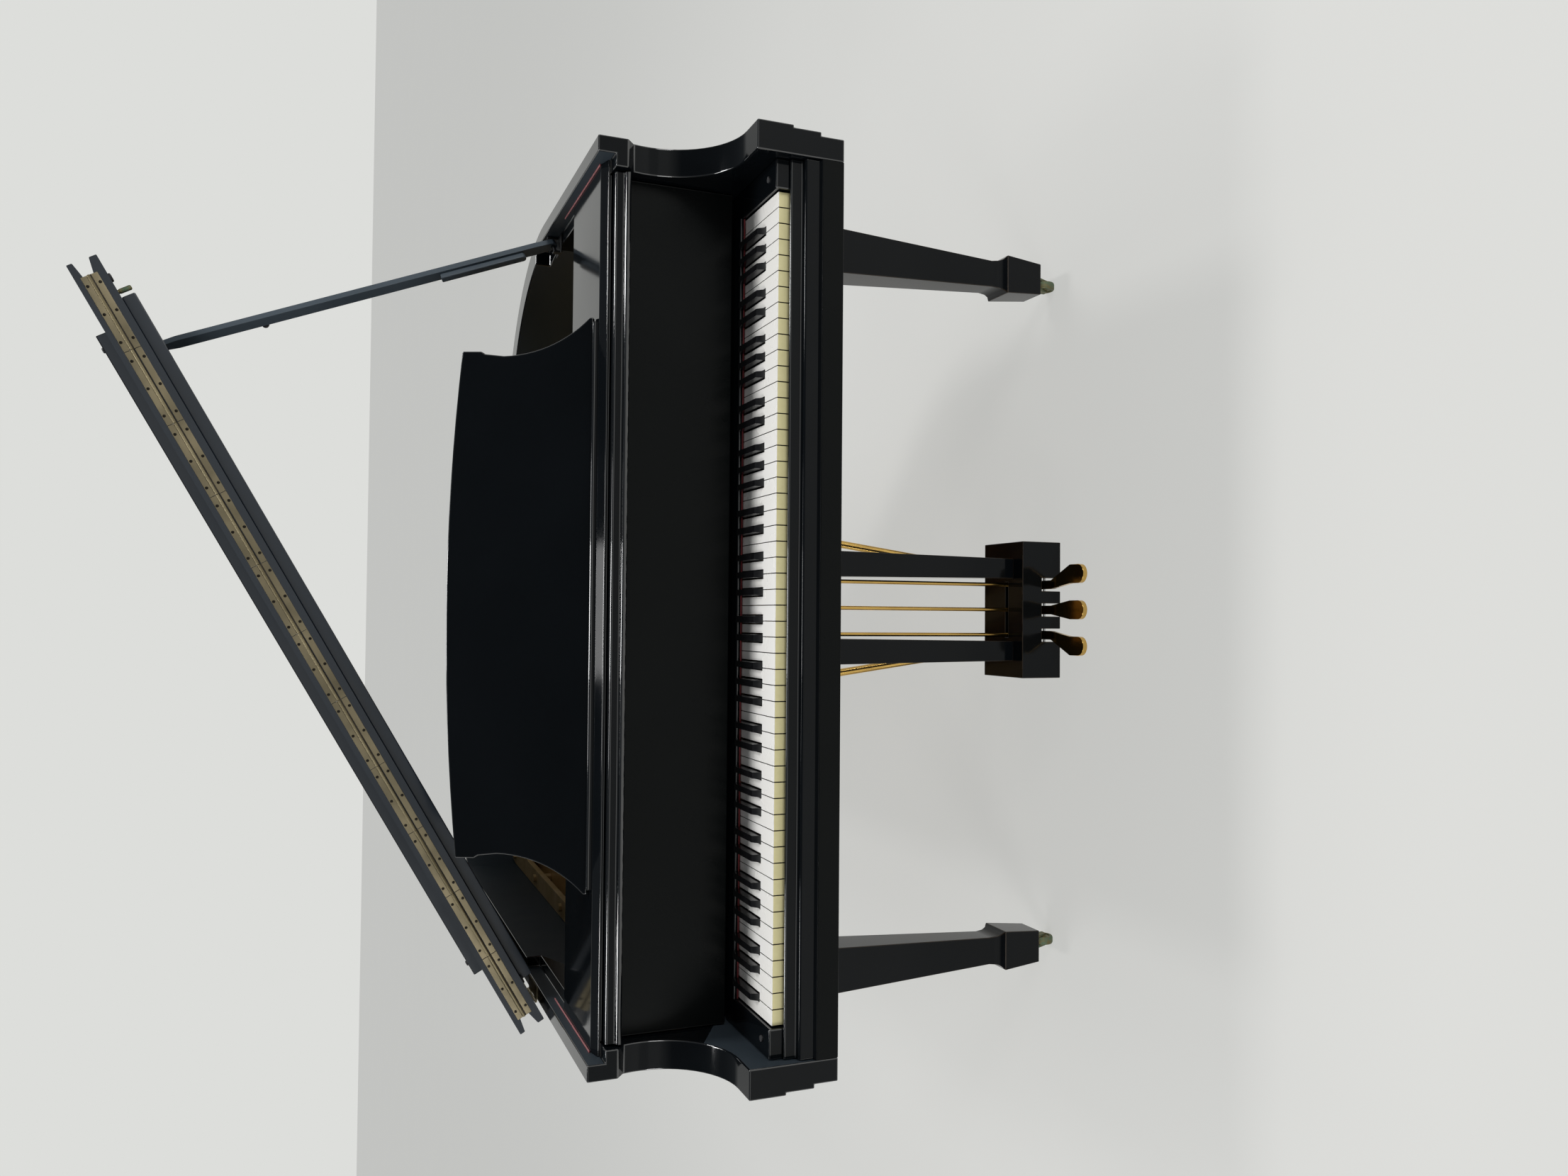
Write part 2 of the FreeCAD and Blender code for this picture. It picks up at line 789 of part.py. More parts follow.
def make_plate():
    """Pin block, cast plate with its windows and bars, and the bolts that carry it."""
    half = d.half_width - d.arm_thickness
    block_low = d.plate_seat - d.pin_block_thickness
    node("pin_block", box(-half, half, d.plate_front, d.pin_block_back, block_low, d.plate_seat))

    plate = new_body("iron_plate")
    inset = d.arm_thickness + d.plate_play
    top = d.plate_seat + d.plate_thickness
    left = -half.value + 42
    hitch = [along_string(n, note_length(n) + 38) for n in (87, 76, 66, 57, 49, 42, 36, 31, 26)]
    front = [along_string(n, 9) for n in (26, 34, 42, 52, 64, 87)]
    window = [Corner(left, along_string(0, 9)[1])]
    window += [Corner(x, y) for x, y in front]
    window += [Corner(half.value - 34, front[-1][1]), Corner(half.value - 34, hitch[0][1])]
    window += [Corner(x, y) for x, y in hitch]
    window += [Corner(left, hitch[-1][1] - 60)]
    low_end, high_end = [along_string(n, note_length(n)) for n in (0, 25)]
    run = Vector(high_end[0] - low_end[0], high_end[1] - low_end[1], 0).normalize()
    across = Vector(-run.y, run.x, 0) * 34
    start = Vector(*low_end, 0) - run * 26
    stop = Vector(*high_end, 0) + run * 26
    ring = [start - across, stop - across, stop + across, start + across]
    bass_window = [Corner(p.x, p.y) for p in ring]
    pad(plate, "XY_Plane", d.plate_seat, top,
        case_loop(inset, straight_front(inset, d.plate_front)), window, bass_window)

    bar_low = d.string_height + d.bar_clearance
    wide = d.bar_width.value / 2
    for start_note in SECTION_STARTS[1:]:
        before, after = start_note - 1, start_note
        ends = []
        for distance in (-46, note_length(after) + 96):
            a, b = along_string(before, distance), along_string(after, distance)
            ends.append(((a[0] + b[0]) / 2, (a[1] + b[1]) / 2))
        (x0, y0), (x1, y1) = ends
        bar = [Corner(x0 - wide, y0), Corner(x0 + wide, y0), Corner(x1 + wide, y1), Corner(x1 - wide, y1)]
        pad(plate, "XY_Plane", bar_low, bar_low + d.bar_height, bar)
        for x, y, ahead in ((x0, y0, 40), (x1, y1, -40)):
            slope = (x1 - x0) / (y1 - y0) * ahead
            post = [Corner(x - wide, y), Corner(x + wide, y),
                    Corner(x + wide + slope, y + ahead), Corner(x - wide + slope, y + ahead)]
            pad(plate, "XY_Plane", top, bar_low, post if ahead > 0 else post[::-1])
    plain_run = ((26, 34, 42, 52, 64, 87), d.wire_plain, 0)
    bass_run = ((0, 25), d.wire_bass, d.bass_rise)
    for notes, gauge, rise in (plain_run, bass_run):
        ring = along_run(notes, -9) + along_run(notes, 5)[::-1]
        seat = d.string_height + rise - d.seat_gap - gauge / 2
        pad(plate, "XY_Plane", top, seat, [Corner(x, y) for x, y in ring])

    bolts = []
    radius = d.bolt_radius.value
    ring_inset = d.arm_thickness.value + 24
    path = [Vector(c.x.value, c.y.value, 0) for c in case_side(Size.of(ring_inset))]
    spots = [path[1], (path[2] + path[3]) * 0.5, path[4], path[5], path[6]]
    spots += [Vector(s * (half.value - 24), y, 0) for s in (-1, 1) for y in (640,)]
    spots += [Vector(24 - half.value, y, 0) for y in (900, 1200)]
    board_top = d.soundboard_seat.value + d.soundboard_thickness.value
    for spot in spots:
        hexagon = [(corner.x, corner.y) for corner in many_sided(spot.x, spot.y, radius, 6)]
        bolts.append(flat_prism(hexagon, board_top, d.plate_seat.value))
        bolts.append(flat_prism(hexagon, top.value, top.value + 7))
    feature("plate_bolts", bolts)


def rod_slot():
    """The slot that the three pedal rods pass through."""
    reach = d.pedal_spacing + d.rod_radius + d.rod_clearance
    middle = d.lyre_y + d.lyre_depth / 2
    half = d.rod_radius + d.rod_clearance
    return rectangle(-reach, reach, middle - half, middle + half)


def make_keybed():
    """Keybed, slip, blocks, name rail, felt, stretcher and key frame."""
    half = d.half_width - d.arm_thickness
    bed_top = d.rim_bottom + d.keybed_thickness
    bed = new_body("keybed")
    pad(bed, "XY_Plane", d.rim_bottom, bed_top,
        rectangle(-half, half, d.arm_front, d.arm_front + d.keybed_depth))
    pocket(bed, "XY_Plane", d.rim_bottom, bed_top, rod_slot())

    inside = half - d.case_play
    slip = new_body("key_slip")
    profile = [
        Corner(d.slip_front, bed_top), Corner(d.slip_back, bed_top), Corner(d.slip_back, d.slip_top),
        Corner(d.slip_face, d.slip_top), Corner(d.slip_face, d.slip_step),
        Corner(d.slip_front + d.slip_round, d.slip_step),
        Corner(d.slip_front, d.slip_step - d.slip_round, d.slip_round),
    ]
    pad(slip, "YZ_Plane", -inside, inside, profile)

    keyboard = d.key_pitch * 26 + 1.5
    blocks = []
    for low, high in ((-inside, -keyboard), (keyboard, inside)):
        blocks.append(box(low, high, d.slip_back, d.block_back, bed_top, d.block_top))
    node("key_blocks", join("Part::Compound", *blocks))

    rail_top = d.name_rail_bottom + d.name_rail_height
    node("name_rail", box(-keyboard, keyboard, d.name_rail_front, d.name_rail_back,
                          d.name_rail_bottom, rail_top))
    node("name_felt", box(-keyboard, keyboard, d.name_rail_front - d.felt_thickness, d.name_rail_front,
                          d.name_rail_bottom - 0.5, rail_top - 1))
    beam_top = d.rim_top - d.rabbet_depth - 3
    node("stretcher", box(-half, half, d.stretcher_front, d.stretcher_front + d.stretcher_thickness,
                          beam_top - d.stretcher_height, beam_top))

    rail_low, rail_high = bed_top, bed_top + d.frame_rail_height
    key_bottom = d.key_top - d.key_thickness
    span = keyboard - 4
    bead = d.balance_bead / 2
    front = box(-span, span, 6, 66, rail_low, rail_high)
    back = box(-span, span, d.key_length - 46, d.key_length - 4, rail_low, rail_high)
    balance = box(-span, span, d.balance_line - 25, d.balance_line + 25, rail_low, key_bottom - 2)
    ridge = box(-span, span, d.balance_line - bead, d.balance_line + bead,
                key_bottom - 2, key_bottom - d.seat_gap)
    sides = [box(x, x + 40, 66, d.key_length - 46, rail_low, rail_low + 10)
             for x in (40 - span, -20, span - 80)]
    node("key_frame", join("Part::MultiFuse", front, back, balance, ridge, *sides))


def key_span(note):
    """Left and right limits of a key's tail, with the tails of each group sharing its width evenly."""
    step = (note - 3) % 12
    octave = (note - 3) // 12
    left = (2 + 7 * octave - 26) * d.key_pitch.value
    if step < 5:
        width = 3 * d.key_pitch.value / 5
        start = left + step * width
    else:
        width = 4 * d.key_pitch.value / 7
        start = left + 3 * d.key_pitch.value + (step - 5) * width
    return start, start + width


def make_keys():
    """Fifty-two naturals and thirty-six sharps."""
    gap, side = d.key_gap.value / 2, d.sharp_side_gap.value
    top, bottom = d.key_top.value, d.key_top.value - d.key_thickness.value
    naturals, sharps = [], []
    for note in range(NOTES):
        low, high = key_span(note)
        if is_sharp(note):
            cap, shelf = top + d.sharp_rise.value, top - 2
            front = d.key_head.value + d.key_gap.value
            tip = front + d.sharp_rise.value * 0.6
            end, tail = d.sharp_end.value, d.key_length.value
            outline = [(front, bottom), (tail, bottom), (tail, shelf), (end, shelf), (end, cap), (tip, cap)]
            sharps.append(side_prism(outline, low + side, high - side))
            continue
        index = len(naturals)
        left = (index - 26) * d.key_pitch.value + gap
        right = (index - 25) * d.key_pitch.value - gap
        low = left if note == 0 else max(low + gap, left)
        high = right if note == NOTES - 1 else min(high - gap, right)
        head = d.key_head.value
        ring = [(left, 0), (right, 0), (right, head), (high, head), (high, d.key_length.value),
                (low, d.key_length.value), (low, head), (left, head)]
        ring = [p for k, p in enumerate(ring) if p != ring[k - 1]]
        naturals.append(flat_prism(ring, bottom, top))
    feature("natural_keys", naturals)
    feature("sharp_keys", sharps)


def make_action():
    """Action frame, hammers and dampers."""
    pivot_y = d.strike_line.value - 113
    pivot_z = d.hammer_pivot_height.value
    shank, thick, tip = d.shank_length.value, d.shank_height.value / 2, d.hammer_rise.value
    wide = d.hammer_width.value / 2
    outline = [(-5, -thick), (shank - 9, -13), (shank + 4, -13), (shank, tip), (shank - 9, thick)]
    hammers = {False: [], True: []}
    dampers = {False: [], True: []}
    for note in range(NOTES):
        x = crossing(note, d.strike_line)
        ring = [(pivot_y + y, pivot_z + z) for y, z in outline]
        hammers[is_sharp(note)].append(side_prism(ring, x - wide, x + wide))
        if note >= DAMPED_NOTES:
            continue
        low = note < BASS_NOTES
        gauge, rise = (d.wire_bass, d.bass_rise.value) if low else (d.wire_plain, 0.0)
        seat = d.string_height.value + rise + gauge.value / 2 + d.seat_gap.value
        x = crossing(note, d.damper_line)
        reach = d.damper_length.value / 2
        head = side_prism([(d.damper_line.value - reach, seat), (d.damper_line.value + reach, seat),
                           (d.damper_line.value + reach, seat + d.damper_height.value),
                           (d.damper_line.value - reach, seat + d.damper_height.value)], x - wide, x + wide)
        dampers[is_sharp(note)].append(head)
    for sharp, name in ((False, "natural"), (True, "sharp")):
        feature(f"{name}_hammers", hammers[sharp])
        feature(f"{name}_dampers", dampers[sharp])

    bed_top = d.rim_bottom + d.keybed_thickness
    rail_back = d.strike_line - 113 - 5 - d.seat_gap
    rail_low = d.hammer_pivot_height - d.rail_height / 2
    span = d.key_pitch * 26
    rail = box(-span, span, rail_back - d.rail_depth, rail_back, rail_low, rail_low + d.rail_height)
    rest = box(-span, span, rail_back - d.rail_depth, rail_back, d.key_top + 16, d.key_top + 30)
    brackets = [box(x, x + d.bracket_thickness, rail_back - d.rail_depth, rail_back, d.key_top + 30, rail_low)
                for x in (-564, -269, 12, 266, 556)]
    ends = [box(x, x + d.bracket_thickness, rail_back - d.rail_depth, rail_back, bed_top, rail_low)
            for x in (-span - 9, span + 1)]
    caps = [box(low, high, rail_back - d.rail_depth, rail_back, d.key_top + 16, rail_low + d.rail_height)
            for low, high in ((-span - 9, -span), (span, span + 9))]
    node("action_frame", join("Part::MultiFuse", rail, rest, *brackets, *ends, *caps))


def make_leg(label, x, y):
    """A square tapered leg with a coved neck, a spade foot and a socket for the caster stem."""
    cove = d.leg_neck_height - d.foot_top_height
    spread = d.foot_top_width - d.leg_neck_width
    levels = (
        (d.rim_bottom, d.leg_top_width),
        (d.leg_neck_height, d.leg_neck_width),
        (d.foot_top_height + cove * 0.5, d.leg_neck_width + spread * 0.15),
        (d.foot_top_height + cove * 0.2, d.leg_neck_width + spread * 0.45),
        (d.foot_top_height, d.foot_top_width),
        (d.foot_bottom_height, d.foot_bottom_width),
    )
    tapers = [taper(x, y, lower, upper) for upper, lower in zip(levels, levels[1:])]
    socket = bar(x, y, d.foot_bottom_height - 1, clear_of(d.caster_stem_radius, STEM_SIDES),
                 d.caster_stem_length + 2, Rotation(), STEM_SIDES)
    node(label, cut(join("Part::MultiFuse", *tapers), socket))


def taper(x, y, lower, upper):
    """A square block that changes width from one level to another."""
    (low, low_width), (high, high_width) = lower, upper
    block = doc.addObject("Part::Wedge", "Taper")
    block.Placement = Placement(Vector(), Rotation(Vector(1, 0, 0), 90))
    small, large = low_width / 2, high_width / 2
    bind(block, Xmin=-small, Xmax=small, Zmin=-small, Zmax=small, Ymin=0, Ymax=high - low,
         X2min=-large, X2max=large, Z2min=-large, Z2max=large)
    settle(block, x, y, low)
    return block


def make_caster(label, x, y):
    """A swivelling fork and its wheel, trailing behind the stem."""
    top = d.foot_bottom_height - d.seat_gap
    wheel_y = y + d.caster_trail
    half = d.caster_width / 2 + d.running_gap
    outer = half + d.caster_cheek
    plate_low = top - d.caster_plate
    fork = new_body(f"{label}_fork")
    reach = d.caster_plate_width / 2
    pad(fork, "XY_Plane", plate_low, top, rectangle(x - reach, x + reach, y - reach, y + reach))
    pad(fork, "XY_Plane", top, top + d.caster_stem_length, many_sided(x, y, d.caster_stem_radius, STEM_SIDES))
    cheek = [
        Corner(y - d.caster_stem_radius * 1.5, plate_low + 1),
        Corner(wheel_y - d.caster_stem_radius, d.caster_radius - d.caster_stem_radius),
        Corner(wheel_y + d.caster_stem_radius, d.caster_radius - d.caster_stem_radius),
        Corner(wheel_y + d.caster_stem_radius, d.caster_radius + d.caster_stem_radius),
        Corner(y + reach, plate_low + 1),
    ]
    for low, high in ((x - outer, x - half), (x + half, x + outer)):
        pad(fork, "YZ_Plane", low, high, cheek)
    pad(fork, "YZ_Plane", x - outer, x + outer, many_sided(wheel_y, d.caster_radius, d.axle_radius))
    wide, height = d.caster_width, d.caster_radius
    tread = bar(x - wide / 2, wheel_y, height, d.caster_radius, wide, ALONG_X, TREAD_SIDES)
    bore = bar(x - wide, wheel_y, height, clear_of(d.axle_radius), wide * 2, ALONG_X)
    node(f"{label}_wheel", cut(tread, bore))


def make_lyre():
    """Lyre posts, pedal box, braces, pedals and their rods."""
    back = d.lyre_y + d.lyre_depth
    box_top = d.pedal_box_bottom + d.pedal_box_height
    posts = new_body("lyre_posts")
    head_low = d.rim_bottom - 26
    pad(posts, "XZ_Plane", -back, -d.lyre_y,
        rectangle(-d.lyre_post_inner - d.lyre_post_width - 10, d.lyre_post_inner + d.lyre_post_width + 10,
                  head_low, d.rim_bottom))
    for side in (-1, 1):
        inner = d.lyre_post_inner * side
        outer = (d.lyre_post_inner + d.lyre_post_width) * side
        low_inner = (d.lyre_post_inner + 5) * side
        low_outer = (d.lyre_post_inner + 5 + d.lyre_post_low_width) * side
        ring = [Corner(inner, head_low), Corner(low_inner, box_top),
                Corner(low_outer, box_top), Corner(outer, head_low)]
        pad(posts, "XZ_Plane", -back, -d.lyre_y, ring if side > 0 else ring[::-1])
    rod_y = d.lyre_y + d.lyre_depth / 2
    pocket(posts, "XY_Plane", head_low - 1, d.rim_bottom + 1, rod_slot())

    front = d.lyre_y - 30
    rear = front + d.pedal_box_depth
    case = new_body("pedal_box")
    wall = d.pedal_box_wall
    pad(case, "XY_Plane", d.pedal_box_bottom, box_top,
        rectangle(-d.pedal_box_half_width, d.pedal_box_half_width, front, rear))
    pocket(case, "XY_Plane", d.pedal_box_bottom - 1, box_top - wall,
           rectangle(wall - d.pedal_box_half_width, d.pedal_box_half_width - wall, front + wall, rear - wall))
    pocket(case, "XY_Plane", box_top - wall - 1, box_top + 1, rod_slot())
    pivot_y = front + d.pedal_pivot
    for index in (-1, 0, 1):
        x = d.pedal_spacing * index
        slot = d.pedal_neck / 2 + 4
        pocket(case, "XZ_Plane", -front - wall - 1, -front + 1,
               rectangle(x - slot, x + slot, d.pedal_box_bottom - 1, d.pedal_height + 14))
    pivot_z = d.pedal_height - d.pedal_thickness / 2
    axle = bar(wall - d.pedal_box_half_width, pivot_y, pivot_z, d.pedal_axle_radius,
               (d.pedal_box_half_width - wall) * 2, ALONG_X)
    node("pedal_axle", axle)

    rear_y = rod_y + 14
    for index, name in zip((-1, 0, 1), PEDALS):
        x = d.pedal_spacing * index
        tip_x = (d.pedal_spacing + d.pedal_splay) * index
        neck, wide = d.pedal_neck / 2, d.pedal_width / 2
        tip = front - d.pedal_reach
        shoulder = tip + d.pedal_width * 1.2
        plan = [
            Corner(x - neck, rear_y), Corner(x - neck, front - 6),
            Corner(tip_x - wide, shoulder), Corner(tip_x - wide, tip + wide),
            Corner(tip_x, tip, wide), Corner(tip_x + wide, tip + wide, wide),
            Corner(tip_x + wide, shoulder), Corner(x + neck, front - 6), Corner(x + neck, rear_y),
        ]
        pedal = new_body(f"{name}_pedal")
        pad(pedal, "XY_Plane", d.pedal_height - d.pedal_thickness, d.pedal_height, plan)
        hole = many_sided(pivot_y, pivot_z, clear_of(d.pedal_axle_radius))
        pocket(pedal, "YZ_Plane", x - neck - 1, x + neck + 1, hole)
        low = d.pedal_height + d.seat_gap
        node(f"{name}_pedal_rod", bar(x, rod_y, low, d.rod_radius, d.rod_top - low, Rotation(), STEM_SIDES))

    braces = []
    for side in (-1, 1):
        foot = Vector(70 * side, (back + d.brace_radius).value + 1, box_top.value)
        head = Vector(150 * side, d.brace_head_y.value, d.rim_bottom.value)
        run = head - foot
        tilt = d.brace_radius.value * math.sin(run.getAngle(Vector(0, 0, 1))) + d.seat_gap.value
        foot = foot + Vector(run).normalize() * tilt
        brace = bar(foot.x, foot.y, foot.z, d.brace_radius, run.Length - tilt * 2,
                    Rotation(Vector(0, 0, 1), run), STEM_SIDES)
        braces.append(brace)
    node("lyre_braces", join("Part::Compound", *braces))


def lid_place():
    """The open lid: turned up about the hinge line along the spine."""
    axis = Vector(-(d.half_width + d.hinge_offset).value, 0, (d.rim_top + d.lid_gap / 2).value)
    turn = Rotation(Vector(0, -1, 0), d.lid_angle.value)
    return Placement(Vector(), turn, axis)


def make_lid():
    """Main lid, folded flap, batten and the hinges, drawn closed and then opened."""
    place = lid_place()
    under = d.rim_top + d.lid_gap
    top = under + d.lid_thickness
    edge = -d.lid_overhang
    lid = new_body("lid_main", place)
    shoulder = edge + d.lid_edge_step
    pad(lid, "XY_Plane", under, under + d.lid_edge_height,
        case_loop(shoulder, straight_front(shoulder, d.fold_line)))
    pad(lid, "XY_Plane", under + d.lid_edge_height, top, case_loop(edge, straight_front(edge, d.fold_line)))

    inner = d.half_width - d.batten_inset
    batten_front = d.fold_line + d.batten_setback
    batten = box(-inner, inner, batten_front, batten_front + d.batten_width, under - d.batten_height, under)
    move(node("lid_batten", join("Part::Compound", batten)), place)

    flap = new_body("lid_flap", place)
    flap_low = top + d.flap_gap
    flap_high = flap_low + d.lid_thickness
    half = d.half_width + d.lid_overhang
    back = d.fold_line + d.flap_depth
    trim = d.lid_edge_step
    pad(flap, "XY_Plane", flap_low, flap_high - d.lid_edge_height, rectangle(-half, half, d.fold_line, back))
    pad(flap, "XY_Plane", flap_high - d.lid_edge_height, flap_high,
        rectangle(trim - half, half - trim, d.fold_line, back - trim))
    lip = half - d.flap_lip_inset
    pad(flap, "XY_Plane", flap_high, flap_high + d.flap_lip,
        rectangle(-lip, lip, back - trim - d.flap_lip_thickness, back - trim))

    fold_y = d.fold_line - d.fold_offset
    fold_z = top + d.flap_gap / 2
    span = half - d.flap_hinge_inset
    leaf_gap = d.flap_gap / 2 - d.flap_knuckle - d.seat_gap
    face = d.fold_line - d.hinge_leaf
    lid_parts = [box(-span, span, face, d.fold_line, top - d.flap_leaf_width, top + leaf_gap)]
    flap_parts = [box(-span, span, face, d.fold_line, flap_low - leaf_gap, flap_low + d.flap_leaf_width)]
    pitch = span * 2 / FLAP_KNUCKLES
    for segment in range(FLAP_KNUCKLES):
        start = pitch * segment - span + d.seat_gap
        stop = start + pitch - d.seat_gap * 2
        parts, low, high = (flap_parts, fold_z, flap_low) if segment % 2 else (lid_parts, top, fold_z)
        parts.append(bar(start, fold_y, fold_z, d.flap_knuckle, stop - start, ALONG_X))
        parts.append(box(start, stop, face, d.fold_line, low, high))
    for name, parts in (("flap_hinge_lid_leaf", lid_parts), ("flap_hinge_flap_leaf", flap_parts)):
        move(node(name, join("Part::MultiFuse", *parts)), place)

    hinge_x = -(d.half_width + d.hinge_offset)
    hinge_z = d.rim_top + d.lid_gap / 2
    leaf_start = hinge_x + d.hinge_radius + d.seat_gap
    leaf_end = hinge_x + d.hinge_leaf_width
    third = d.hinge_length / 3
    case_parts, lid_parts = [], []
    for middle in LID_HINGES:
        start = middle - d.hinge_length / 2
        for segment in range(3):
            low = start + third * segment + d.seat_gap
            high = low + third - d.seat_gap * 2
            on_lid = segment == 1
            parts = lid_parts if on_lid else case_parts
            base = under - d.hinge_leaf if on_lid else d.rim_top
            parts.append(bar(hinge_x, low, hinge_z, d.hinge_radius, high - low, ALONG_Y))
            parts.append(box(hinge_x, leaf_start, low, high, base, base + d.hinge_leaf))
        for parts, base in ((case_parts, d.rim_top), (lid_parts, under - d.hinge_leaf)):
            parts.append(box(leaf_start, leaf_end, start, start + d.hinge_length, base, base + d.hinge_leaf))
    node("lid_hinge_case_leaves", join("Part::MultiFuse", *case_parts))
    move(node("lid_hinge_lid_leaves", join("Part::MultiFuse", *lid_parts)), place)


def move(piece, place):
    """Carry a finished piece to a new place."""
    piece.Placement = place


def prop_frame():
    """Foot of the prop, its direction at rest, its fold direction and its length."""
    foot = Vector(d.prop_x.value, d.prop_y.value, (d.rim_top - d.rabbet_depth + d.prop_lift).value)
    axis_x = -(d.half_width + d.hinge_offset).value
    axis_z = (d.rim_top + d.lid_gap / 2).value
    angle = math.radians(d.lid_angle.value)
    drop = d.lid_gap.value / 2 - 0.4
    along = (d.prop_top_x.value - axis_x + drop * math.sin(angle)) / math.cos(angle)
    head = Vector(d.prop_top_x.value, d.prop_top_y.value,
                  axis_z + along * math.sin(angle) + drop * math.cos(angle))
    fold = math.radians(d.prop_fold_angle.value)
    return foot, head - foot, Vector(-math.sin(fold), math.cos(fold), 0)


def make_prop():
    """Long prop, the short prop nested on it and the bracket that holds its foot."""
    foot, run, folded = prop_frame()
    axis = run.cross(folded).normalize()
    direction = Vector(run).normalize()
    turn = Rotation(axis, direction.cross(axis), direction, "ZXY")
    place = Placement(foot, turn)
    length = run.Length
    half, thick = d.prop_width / 2, d.prop_thickness / 2
    prop = new_body("lid_prop", place)
    crown = length - d.prop_crown
    pad(prop, "YZ_Plane", -thick, thick, [
        Corner(-d.prop_eye, 0), Corner(0, -d.prop_eye, d.prop_eye), Corner(d.prop_eye, 0, d.prop_eye),
        Corner(half, 30), Corner(half, crown - 40), Corner(half * 0.5, crown), Corner(-half * 0.5, crown),
        Corner(-half, crown - 40), Corner(-half, 30),
    ])
    pocket(prop, "YZ_Plane", -thick - 1, thick + 1, many_sided(0, 0, clear_of(d.prop_pin)))

    start = d.short_prop_start
    low = thick + d.seat_gap
    high = low + d.short_prop_width
    short = new_body("short_prop", place)
    wide = d.short_prop_width / 2
    pad(short, "YZ_Plane", low, high, [
        Corner(-wide, start), Corner(0, start - wide, wide), Corner(wide, start, wide),
        Corner(wide, start + d.short_prop_length), Corner(-wide, start + d.short_prop_length),
    ])

    ledge = d.rim_top - d.rabbet_depth
    wall = d.half_width - d.arm_thickness + d.rabbet_width - d.case_play
    inner = d.prop_x - d.prop_reach - d.prop_cheek / 2
    parts = [box(inner, wall, d.prop_y - 25, d.prop_y + 20, ledge, ledge + d.prop_plate)]
    ends = []
    for middle in (inner + d.prop_cheek / 2, wall - d.prop_cheek / 2):
        end = foot + axis * ((middle.value - foot.x) / axis.x)
        half_cheek = d.prop_cheek / 2
        parts.append(box(middle - half_cheek, middle + half_cheek, end.y - d.prop_eye, end.y + d.prop_eye,
                         ledge + d.prop_plate, end.z + d.prop_pin + d.prop_cheek / 2))
        ends.append(end)
    bolt = bar(ends[0].x, ends[0].y, ends[0].z, d.prop_pin, (ends[1] - ends[0]).Length,
                    Rotation(Vector(0, 0, 1), ends[1] - ends[0]))
    node("prop_bracket", join("Part::MultiFuse", bolt, *parts))


